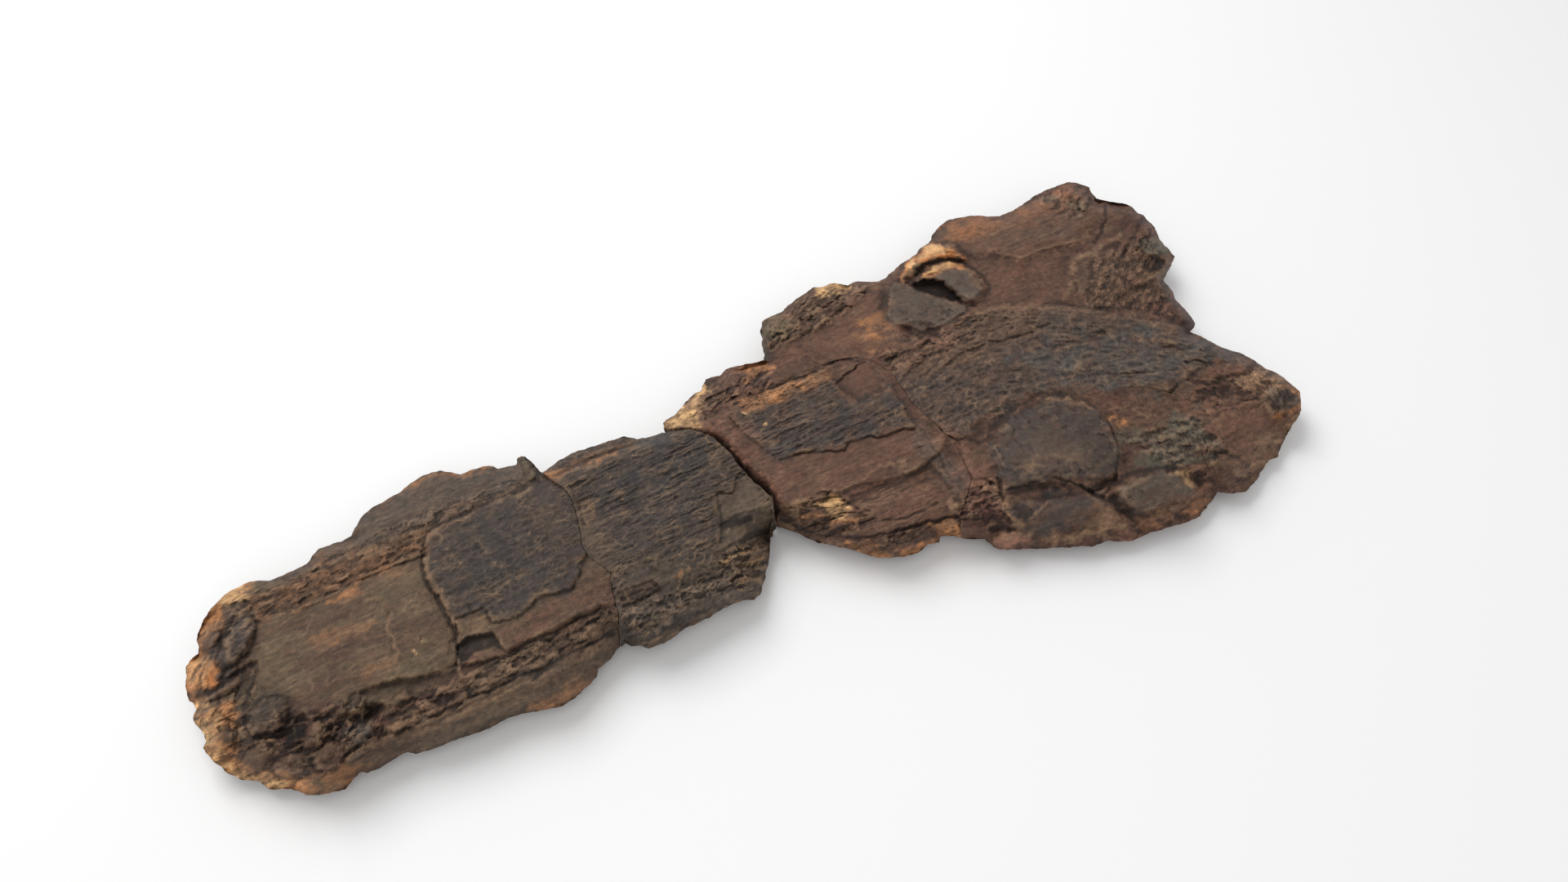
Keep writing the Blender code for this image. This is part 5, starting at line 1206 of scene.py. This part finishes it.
skullBack = {
    "name": "skull_back", "light": 1.09, "spacing": 0.47, "wallRows": 14, "ragged": 0.36,
    "front": backFront,
    "near": backFront[:1] + [(157.5, -42.5), (157.8, -45), (158.8, -46.5), (161.5, -47.8), (165, -49.3),
                             (167.5, -50.8), (172.5, -52.8), (176, -54.3), (178, -55.5), (182, -56),
                             (184, -57.3), (187, -58.4), (191.5, -58.7), (195, -59.4), (200, -60.1),
                             (205.3, -60.6), (208, -59.4), (211, -58.5), (213.4, -57.2), (215, -58.3),
                             (217, -59.5), (220, -60), (225, -58.6), (228.3, -56.9), (231.5, -55.9),
                             (233.8, -55.8), (237, -53.9), (240, -52.3), (243, -49.9)],
    "far": backFront[-1:] + [(138.4, 31.9), (140, 36.6), (141.9, 40.6), (143.4, 43.1), (145, 43.9),
                             (150, 44.1), (152.5, 45.5), (156.3, 46.9), (160.5, 48), (162.5, 48.3),
                             (165, 47.6), (167, 47.9), (168.5, 47.4), (169.6, 45.5), (169.9, 43.8),
                             (172, 44.8), (173.8, 45.2), (175.5, 44.3), (177.3, 43.1), (179.5, 42.1),
                             (182, 42.5), (185, 43.8), (190, 45.6), (195, 46.7), (196.5, 48), (198.5, 48.9),
                             (200.3, 48.9), (201.8, 50), (203.5, 51.5), (205, 52.5), (208, 54.1),
                             (211.5, 54.8), (215, 54.1), (218, 53.3), (220, 52.3), (222, 50.8), (225, 49.6),
                             (230, 49.3), (235, 50.5), (240, 52), (243.5, 52.5), (248, 52.6), (253, 52.5),
                             (254.5, 51.3), (255.8, 50), (256.9, 47.5)],
    "rear": [(243, -49.9), (245, -48.8), (247.5, -48.2), (250.3, -47.3), (252, -45.3), (253.8, -43),
             (254.1, -40), (253.3, -35.3), (252, -33), (251, -29), (249.8, -25.5), (248, -23.5),
             (246.5, -20.5), (244.8, -16.5), (243.3, -13.4), (245.5, -12.5), (246.5, -12), (247.4, -10),
             (248, -4), (248.1, -2), (249.3, 0.5), (250, 3), (249.9, 5), (251, 6), (254, 7.8), (257, 9.8),
             (259.4, 11.5), (260, 16.5), (260.8, 19.5), (262, 22.5), (262.8, 25.5), (262.8, 28),
             (263.4, 29.9), (262.6, 31), (262.3, 33), (262.5, 34.8), (260, 36.5), (258, 38.5),
             (256.8, 40.2), (254.9, 40.4), (255, 41.5), (256, 43.3), (256, 45), (256.9, 47.5)],
    "margins": (0.10, 0.08, 0.003, 0.05),
    "layers": [
        (skullRoof, 0.8, 6.0),
        ([(243.5, -14), (240, -5), (234, 1), (231, 5), (240, 7), (252, 7), (254, 0), (252, -14)], -1.0, 2.0),
        (farPlate, 1.2, 6.0),
        ([(151, 24), (158, 21), (166, 20), (176, 18), (175, 30), (181, 40), (176, 41), (166, 36), (155, 34),
          (148, 31)], -0.9, 4.5),
        ([(169.5, -34.8), (176, -34.8), (181.5, -36.8), (186, -41.2), (194, -42.8), (189, -44.2), (182, -42.5),
          (175, -39.5), (171, -37.5)], -0.45, 1.4),
        (nearRearPlate, 0.6, 1.6), (orbitLeaf, 0.8, 1.0), (eyeball, 1.6, 2.6), (orbitRim, 2.2, 2.4),
        ([(187, 36.8), (191, 36.8), (195, 33.5), (195.8, 25), (193, 27), (189.5, 31), (187.5, 35)], -1.8, 1.1),
        (nearOrbit, 0.9, 3.0),
        ([(240.3, -20.2), (245, -18), (246.5, -20.5), (249.8, -25.5), (251, -29.5), (250.3, -30.5),
          (246.5, -32.5), (241, -30.5), (236, -30.8), (232, -29.5), (230.5, -26), (234, -25), (238, -24.5),
          (240.2, -25)], -0.7, 0.5),
        ([(242.5, -31), (252, -30), (254, -38), (244, -38)], -0.4, 0.6), (darkChip, 0.5, 0.5),
        ([(215, 13), (225, 5), (231, 1), (236, -5), (242, -10), (238, -16), (222, -2), (208, 8)], 0.35, 0.6),
        ([(170, 9), (186, 11), (200, 11), (206, 15), (196, 19), (182, 16)], -0.4, 0.7),
        ([(226, 12), (240, 16), (252, 16), (254, 22), (240, 22.5), (232, 21)], 0.4, 0.7),
        ([(248, 18), (262, 24), (263, 31), (250, 26)], 0.5, 0.7),
    ],
    "mounds": [
        ((187.5, -27.5), (19, 15), -8, 2.1), ((190, 31.5), (17.5, 12.5), 0, -1.8),
        ((199.6, 31.8), (6.4, 9.6), 8, 1.4), ((180, 20.5), (6, 3.5), -30, -1.4),
        ((200.6, -50.2), (10.5, 6.2), -14, 2.6), ((212.2, -51.6), (2.2, 3.4), -20, -1.0),
        ((220, -53.4), (5.6, 4.6), 0, 1.6), ((162, -41.6), (3.6, 2.4), 0, -1.5),
        ((248.4, -42.9), (5.0, 2.8), 8, -0.8), ((223, 22), (13, 9), 20, -0.5), ((252, 12), (4.6, 3.2), 30, -1.3),
        ((236, -33.6), (4.0, 2.4), 0, -1.0), joinSwell, ((198, -47), (8, 2.2), -6, 0.5),
        ((205, -53), (5, 2.6), 5, 0.5), ((177, -45), (11, 4.5), -6, 0.9), ((163.5, -45.4), (5, 1.8), -10, 1.0),
        ((176, -52.5), (12, 2.4), -12, 1.1), ((169, -40.5), (3, 5), 0, -0.8), ((190.5, -49), (2.6, 5), 15, -1.1),
        ((200, -57), (11, 2.2), -4, 0.8), ((217.5, -50), (2.4, 2.2), 0, 0.7),
        ((222.5, -55.5), (2.6, 2.0), 0, 0.7), ((182, 28.5), (7, 8.5), 35, 0.6),
        ((200.5, 46.6), (3.2, 1.9), 15, 0.9), ((205, 44.2), (2.2, 2.6), 0, 0.8),
        ((193.5, 43.6), (3.2, 1.8), 15, 0.7),
    ],
    "lines": [
        ([(190, 39.6), (194.6, 41.6), (199.6, 41.4), (204, 38.6)], 0.5, -0.8),
        ([(192.6, 38), (196, 37.4), (198, 38.6)], 0.4, -0.6),
        ([(221.5, 12.5), (226, 16), (229, 18.5), (232, 22.5), (235, 24), (240, 23.3), (246.5, 25.5), (251, 25)],
         1.4, 0.8),
        ([(170.2, -33.4), (174.4, -34.2), (180.6, -34.4), (184.8, -38.4), (187, -42.8), (190.7, -43.4),
          (195.4, -42.4)], 0.35, -0.7),
        ([(204.4, -27.6), (202.4, -33.9), (199.8, -37.4), (195.2, -42.6), (189, -45.4)], 0.4, -0.8),
        ([(185, -14.6), (193, -13.4), (200, -16.8), (203.4, -22.4)], 0.45, 0.3), (roofCrack, 0.55, -1.4),
        ([(215, 13.6), (220, 10.6), (225.5, 5.6), (230, 1.6), (235, -4), (239.5, -6.5), (242, -10),
          (243.6, -13.2)], 0.4, -0.5),
        ([(166, -8), (165.8, -12), (167.5, -15), (170, -16), (171.8, -18.4)], 0.42, -0.9),
        ([(167.3, -16), (165.3, -22), (164.5, -25), (164.5, -27), (167.8, -28.4), (167.5, -30)], 0.42, -0.8),
        ([(170, -29.3), (167.5, -35), (165.8, -39), (165, -41.5)], 0.42, -0.8),
        ([(187, -42.3), (188.4, -46)], 0.5, -1.1), ([(190.3, -51.3), (191, -55)], 0.5, -0.9),
        ([(224.3, -27.3), (227.8, -26.8)], 0.4, -0.8),
        ([(232.5, -30), (241, -30.5), (246.5, -32.5), (250.5, -30.3)], 0.5, -0.9),
        ([(240, -42), (247.5, -40.3)], 0.4, -0.8), (rearCrack, 0.4, -0.7),
        ([(242.5, -44.5), (244.5, -40.8), (249.5, -39.8), (253, -41)], 1.0, 0.9),
        ([(178, 7), (183, 8), (186, 9), (190, 8), (193, 9), (196, 7), (200, 6.7), (206, 6.5), (212, 6.3)],
         0.4, -0.6),
        ([(166, 15.6), (174, 15.4), (180, 16.4)], 0.45, -0.8),
        ([(190, -45.4), (202, -46.4), (215, -50)], 0.7, 0.6),
        ([(172, -51), (186, -54.6), (198, -57.4), (210, -56.6)], 0.5, -0.6),
        ([(163, -48.4), (176, -52.6)], 0.45, -0.6), ([(170, -42.6), (176, -40.6), (186, -43.4)], 0.5, 0.5),
        ([(144, 34), (156, 38.6), (170, 43)], 0.45, -0.7), ([(142, 38), (154, 43), (166, 46)], 0.4, -0.6),
        ([(150, 32), (162, 36.4), (174, 40.4)], 0.4, -0.5), ([(225, -40), (236, -38), (243.4, -40)], 0.4, -0.6),
        ([(224.4, -50), (228.6, -54), (238, -50.6)], 0.45, -0.7),
        ([(205, -34.4), (214, -36), (225, -38.6)], 0.4, -0.6),
        ([(215.8, 36), (218, 33.5), (220.5, 31.4), (225, 31.8), (231.5, 31.3), (239.5, 29.8)], 0.5, 0.35),
        ([(246.5, 18.6), (254, 23.4), (262, 29)], 0.45, -0.8),
        ([(249, 14.5), (256, 19.6), (261, 24)], 0.45, -0.8), ([(243, 27), (252, 33), (256.6, 39.6)], 0.45, -0.7),
        ([(241.6, 45), (243.6, 50)], 0.5, 0.5), ([(246.6, 38), (249.6, 40.4), (252.4, 43)], 0.6, 0.6),
        ([(223, -3), (222, 3)], 0.4, -0.4), ([(207, -12), (218, -17), (230, -22)], 0.35, -0.4),
        ([(160, -40.6), (164.6, -43.2)], 0.6, -1.0),
    ],
    "chipped": [
        ([(140, 32), (165, 35), (178, 42), (168, 48), (145, 44)], 3.4, 0.7, 25),
        ([(164, 20), (166, 9), (187, 12), (200, 16), (196, 20), (180, 17)], 3.0, 0.45, 10),
        ([(224, 7), (236, 21), (256, 24), (262, 33), (262, 20), (254, 8), (244, -11), (234, 1)], 2.6, 0.3, 30),
        ([(204, -34), (225, -36), (226, -48), (218, -58), (212, -58), (208, -46)], 2.4, 0.36, -10),
        ([(157, -30), (169, -28), (168, -41), (160, -40), (155, -36)], 2.4, 0.55, -15),
        ([(226, -30), (252, -30), (254, -40), (240, -42), (228, -38)], 4.0, 0.35, -15),
        ([(243, 37), (256, 41), (256, 51), (238, 51)], 4.2, 0.4, 40),
        ([(224, -55), (245, -48), (254, -44), (252, -34), (246, -38), (244, -47), (232, -53)], 3.4, 0.4, 20),
        ([(160, -48.6), (186, -55), (206, -58), (232, -55), (210, -61), (185, -60), (160, -51)], 2.8, 0.5, -8),
    ],
    "ornament": [
        (skullRoof, "ridges", 10, 1.4, 0.34, roofRun), (skullRoof, "net", 4.5, 1.8, 0.36, roofRun),
        ([(166, 9), (170, 20), (200, 20), (216, 14), (204, 8), (180, 8)], "net", 5, 1.2, 0.30, roofRun),
        (orbitLeaf, "ridges", 10, 0.55, 0.06, [(174, 30), (182, 22), (196, 21)]),
        (nearOrbit, "pits", 1.3, 1.3, 0.05, roofRun),
        ([(203, -16), (224, -27), (232, -32), (228, -40), (205, -38)], "net", 5, 1.3, 0.30, roofRun),
        (farPlate, "ridges", 14, 1.1, 0.12, [(200, 40), (225, 42), (255, 48)]),
        ([(150, 24), (174, 20), (176, 40), (150, 33)], "ridges", 12, 0.9, 0.08, [(145, 26), (180, 38)]),
        ([(160, -40), (190, -48), (214, -54), (214, -60), (160, -52)], "ridges", 10, 0.8, 0.1, nearRun),
        (nearRearPlate, "ridges", 10, 1.0, 0.10, [(222, -50), (245, -44)]),
    ],
    "polished": [
        (nearOrbit, 0.75), (orbitLeaf, 0.9), (eyeball, 0.9), (orbitRim, 0.6), (farPlate, 0.45), (farCheek, 0.45),
        (nearCheek, 0.5), ([(168, -38), (180, -39.6), (190, -44), (190, -48), (168, -47)], 0.5),
    ],
    "shades": ("redPlate", "brownRock", "darkRed"), "wallShade": "darkRed",
    "stains": [
        (skullRoof, "darkBone", 2.2, 0.78),
        ([(196, 2), (218, -2), (238, -14), (240, -24), (222, -22), (200, -8)], "blueGrey", 5.0, 0.6),
        ([(166, 8), (172, 14), (182, 17), (200, 20), (216, 14), (206, 6), (180, 6)], "brownRock", 2.4, 0.6),
        ([(164, 19), (166, 9.6), (186, 11), (188, 18), (178, 18)], "redPlate", 2.0, 0.55),
        ([(140, 32), (165, 35), (178, 42), (168, 49), (144, 45)], "brownRock", 2.0, 0.8),
        ([(138, 34), (150, 36), (151, 46), (140, 44)], "olive", 2.0, 0.7),
        ([(161, 44.6), (170, 44.4), (170, 49), (162, 49)], "cream", 1.3, 0.85),
        # the crack stain here is painted shade on the shoulder wall
        ([(137, 29), (141.6, 30), (142, 37.4), (138, 37)], "crack", 1.0, 0.7), (farCheek, "redPlate", 2.6, 0.75),
        ([(167, 26), (175, 25), (176, 32.4), (168, 32.4)], "ochre", 3.0, 0.38),
        ([(160.6, 22.6), (167.6, 22.4), (167.6, 27.4), (160.6, 27.4)], "ochre", 2.6, 0.32),
        # the darkRed stain here is painted shade in the hollow by the orbit, and the crack stain after it is
        # painted shadow in the sunken slit beside the eyeball
        ([(175, 17), (186, 17), (185, 21), (175, 25)], "darkRed", 1.8, 0.85), (orbitLeaf, "greyBone", 1.0, 0.95),
        ([(186.4, 37.4), (191.4, 37), (195.4, 33.6), (196.2, 25), (193, 26.6), (189, 31), (187, 35)],
         "crack", 0.9, 0.92),
        (eyeball, "greyBone", 0.6, 0.95),
        ([(190.9, 37.5), (194.8, 40.4), (200, 40), (203.8, 37.2), (204.8, 34), (201.5, 36.6), (197, 37.4),
          (193.4, 36.2)], "ochre", 0.6, 0.95),
        ([(192.6, 38.4), (196, 40.4), (201, 39.8), (202.6, 38), (197, 38.2)], "cream", 0.6, 0.7),
        (orbitRim, "orange", 0.7, 0.9),
        ([(189.6, 43), (195, 46), (198, 48.6), (204, 46.6), (205.4, 43), (200.4, 44.4), (195, 44.6)],
         "cream", 1.0, 0.85),
        ([(185.4, 38.4), (190, 40.6), (196, 42.4), (203, 41), (203, 42.2), (196, 43.6), (188, 41.6)],
         "olive", 0.6, 0.8),
        ([(211, 35), (219, 32), (244, 32), (254, 37), (255, 51), (236, 50), (224, 48), (212, 53), (204, 48)],
         "redPlate", 2.5, 0.7),
        ([(213, 38), (228, 36), (246, 37), (246, 47), (226, 46), (214, 49)], "ochre", 5.0, 0.14),
        ([(203, 47), (214, 44), (224, 45), (222, 52), (210, 55)], "orange", 3.0, 0.26),
        ([(226, 49.6), (240, 50.6), (250, 52.6), (250, 47), (236, 45)], "orange", 3.0, 0.16),
        ([(208, 40), (222, 35), (240, 33), (250, 38), (246, 44), (228, 42), (216, 46)], "darkBone", 4.0, 0.5),
        ([(208, 14), (222, 12), (234, 24), (240, 30), (220, 32), (208, 38), (206, 26)], "redPlate", 3.0, 0.6),
        ([(226, 14), (236, 22), (248, 24), (248, 14), (236, 8)], "greyBone", 3.0, 0.45),
        ([(224, 7), (236, 20), (256, 23), (262, 33), (262, 20), (254, 8), (244, -4), (232, 2)],
         "brownRock", 2.0, 0.8),
        ([(254, 18), (262, 20), (263, 33), (255, 31)], "darkRed", 1.6, 0.75),
        ([(253, 12.6), (260.8, 14), (260.8, 20.6), (253.6, 20)], "greenGrey", 1.0, 0.8),
        ([(249, 9.4), (255.4, 10), (255, 14.4), (249.6, 14)], "crack", 1.2, 0.45),
        ([(238, -13), (248.6, -12.6), (249, 0), (240, 1)], "darkRed", 1.6, 0.6),
        ([(240.6, 46.6), (244.6, 46.6), (244.6, 50.6), (240.6, 50.4)], "greenGrey", 1.6, 0.6),
        ([(246.6, 38.6), (253, 39), (253, 43.4), (247, 43)], "greenGrey", 1.6, 0.6),
        (nearOrbit, "darkBone", 1.6, 0.95),
        ([(176, -26), (190, -25), (196, -34), (182, -33)], "greyRock", 4.0, 0.5),
        ([(203, -33.6), (226, -36), (226, -47.6), (204, -47)], "greenGrey", 2.6, 0.75),
        ([(166, -37), (180, -38.6), (190, -43.6), (190, -48), (165, -47.6)], "darkBone", 2.5, 0.7),
        ([(157.6, -44), (163, -43.8), (167, -46), (163, -47.6), (158.4, -47)], "pink", 1.0, 0.9),
        ([(166, -49), (176, -50.6), (188, -53), (188, -55.4), (176, -53.6), (166, -51)], "tan", 1.5, 0.75),
        ([(179, -48.4), (189, -49.4), (188, -54), (180, -52)], "tan", 1.8, 0.55),
        ([(170, -41.6), (186, -43.6), (188, -47.6), (178, -49), (169, -46.6)], "darkBone", 2.0, 0.7),
        # painted shade in the wedge below the near panel
        ([(159.6, -40), (165, -40.6), (167, -43.4), (160, -42.8)], "crack", 1.0, 0.5),
        ([(160, -49), (176, -54.6), (190, -58.2), (206, -60.4), (206, -58.6), (190, -56.4), (176, -52.8)],
         "darkRed", 0.9, 0.85),
        ([(189, -44.6), (203, -44.6), (213, -48.6), (212, -50), (200, -46.4), (189, -46)], "redPlate", 1.2, 0.6),
        (nearCheek, "greyBone", 1.8, 0.9),
        ([(190, -53.4), (200, -56), (209, -55), (212, -56.6), (204, -59), (190, -57)], "ochre", 1.6, 0.25),
        ([(208.6, -47.6), (211.6, -47.6), (212, -52), (209, -52.6)], "cream", 0.8, 0.55),
        ([(189.6, -49.6), (193.6, -49.6), (193.6, -52.6), (189.6, -52.4)], "crack", 1.2, 0.7),
        ([(211, -48.6), (214.4, -49.6), (213.6, -54.4), (210.4, -53.4)], "darkRed", 1.0, 0.85),
        (nearRearPlate, "redPlate", 1.4, 0.85),
        ([(226, -51), (244, -48.4), (252, -45), (249, -49.6), (232, -57), (224, -57)], "tan", 2.2, 0.45),
        ([(242, -31), (254, -31), (254.4, -38.6), (243, -38.6)], "tan", 1.8, 0.75),
        ([(243, -40), (254, -39.6), (253, -46), (245, -46.6)], "greyBone", 1.0, 0.8),
        ([(230, -25.6), (240, -25), (250, -29), (246, -32), (232, -30)], "redPlate", 1.2, 0.8),
        (darkChip, "crack", 0.8, 0.6), (joinBruise, "pink", 2.2, 0.35),
        ([(156, -32), (166, -31.6), (166, -40.4), (155, -40)], "darkRed", 1.2, 0.8),
    ],
    "streaks": [
        ([(204.4, 35), (204.8, 31), (203, 26.4)], 0.45, "tan", 0.7),
        ([(190.5, 39.8), (195, 41.8), (202.5, 40.2)], 0.45, "crack", 0.6),
        ([(221.5, 12.5), (226, 16), (229, 18.5), (232, 22.5), (235, 24), (240, 23.3), (245, 24.3), (250, 25)],
         0.7, "tan", 0.3),
        ([(215.8, 36), (218, 33.5), (220.5, 31.4), (225, 31.8), (231.5, 31.3), (239.5, 29.8), (245, 32)],
         0.5, "tan", 0.35),
        ([(193, -13.6), (200, -17), (202.4, -22)], 0.45, "tan", 0.8),
        ([(205.3, -27.3), (205.8, -27.3)], 0.8, "ochre", 0.9),
        ([(206.8, -30.5), (207.4, -30.5)], 0.7, "ochre", 0.9), ([(178, -30), (182, -32)], 0.5, "tan", 0.6),
        ([(243, -46.4), (251, -46.6), (253.8, -43), (254, -40.4), (249, -38.8)], 0.7, "ochre", 0.85),
        # painted shadow under the overhanging lower edge of the dome
        ([(170.2, -33.6), (174.4, -34.6), (180.6, -34.9), (184.8, -38.8), (187, -43), (195.4, -42.8)],
         0.5, "crack", 0.6),
        ([(177, -29.6), (184, -29), (190, -33.6)], 1.2, "tan", 0.28),
        ([(168, -35.4), (166.2, -40.6), (166, -44)], 0.6, "tan", 0.6),
        ([(158, -47), (172, -53.2), (184, -57.6)], 0.8, "darkRed", 0.7), (roofCrack, 0.6, "crack", 0.8),
        ([(215, 13.4), (225.5, 5.4), (235, -4.2), (242, -10.2)], 0.4, "tan", 0.5),
        (rearCrack, 0.45, "crack", 0.7), ([(214, 13), (206, 17), (196, 19.6)], 0.6, "tan", 0.4),
    ],
    "finish": {**stoneFinish, "grainSize": 1.0, "crackSize": 10.0, "bump": 0.9},
    "flanks": [("near", 0, 7, 3.2, 8.0), ("near", 6, None, 4.0, 14.0), ("rear", 0, 15, 8.0, 5.0),
               ("rear", 14, 27, 6.5, 3.0), ("rear", 26, None, 8.5, 4.0), ("far", 0, 6, 9.0, 3.0),
               ("far", 5, None, 9.5, 6.0)],
}
buildFragment(skullBack)


# Floor, light and camera

# in metres, as the scene is
studio = {
    "floorSize": 6.0, "floorColour": (0.95, 0.95, 0.95), "worldLight": 0.56,
    "softbox": {"place": (-0.15, 0.55, 0.75), "size": 0.6, "power": 5.2},
    "frontFill": {"place": (-0.25, -0.7, 0.6), "size": 0.9, "power": 1.2},
    "lightAim": (0, 0, 0.01),
    "cameraPlace": (-0.07365, -0.14005, 0.2217), "cameraAim": (0.00175, 0.00275, 0.015),
    "lens": 24.44, "sensorWidth": 36, "nearest": 0.005, "furthest": 20,
}


def makeFloor():
    # one square, level with the surface the slab rests on
    half = studio["floorSize"] / 2
    mesh = bpy.data.meshes.new("floor")
    corners = [(-half, -half, 0), (half, -half, 0), (half, half, 0), (-half, half, 0)]
    mesh.from_pydata(corners, [], [(0, 1, 2, 3)])
    floor = bpy.data.objects.new("floor", mesh)
    bpy.context.scene.collection.objects.link(floor)
    material = bpy.data.materials.new("paleFloor")
    material.use_nodes = True
    shader = material.node_tree.nodes["Principled BSDF"]
    shader.inputs["Base Color"].default_value = (*studio["floorColour"], 1)
    shader.inputs["Roughness"].default_value = 0.9
    shader.inputs["Specular IOR Level"].default_value = 0.1
    mesh.materials.append(material)


def turnTowards(thing, place, aim):
    # its own -Z axis points from its place to the aim, with its Y axis upwards
    thing.location = place
    thing.rotation_euler = (Vector(aim) - Vector(place)).to_track_quat("-Z", "Y").to_euler()


def makeLight(name):
    # a square soft light turned to the middle of the fossil
    given = studio[name]
    light = bpy.data.lights.new(name, "AREA")
    light.size, light.energy = given["size"], given["power"]
    made = bpy.data.objects.new(name, light)
    bpy.context.scene.collection.objects.link(made)
    turnTowards(made, given["place"], studio["lightAim"])


def makeWorld():
    # the same white light from all round
    world = bpy.data.worlds.new("studio")
    world.use_nodes = True
    background = world.node_tree.nodes["Background"]
    background.inputs["Color"].default_value = (1, 1, 1, 1)
    background.inputs["Strength"].default_value = studio["worldLight"]
    bpy.context.scene.world = world


def makeCamera():
    # above the near side, where the front of the skull points to the left
    camera = bpy.data.cameras.new("camera")
    camera.sensor_width, camera.lens = studio["sensorWidth"], studio["lens"]
    camera.clip_start, camera.clip_end = studio["nearest"], studio["furthest"]
    made = bpy.data.objects.new("camera", camera)
    bpy.context.scene.collection.objects.link(made)
    turnTowards(made, studio["cameraPlace"], studio["cameraAim"])
    bpy.context.scene.camera = made


makeFloor()
makeLight("softbox")
makeLight("frontFill")
makeWorld()
makeCamera()
bpy.context.scene.view_settings.view_transform = "Standard"
print("floor, lights and camera are placed")
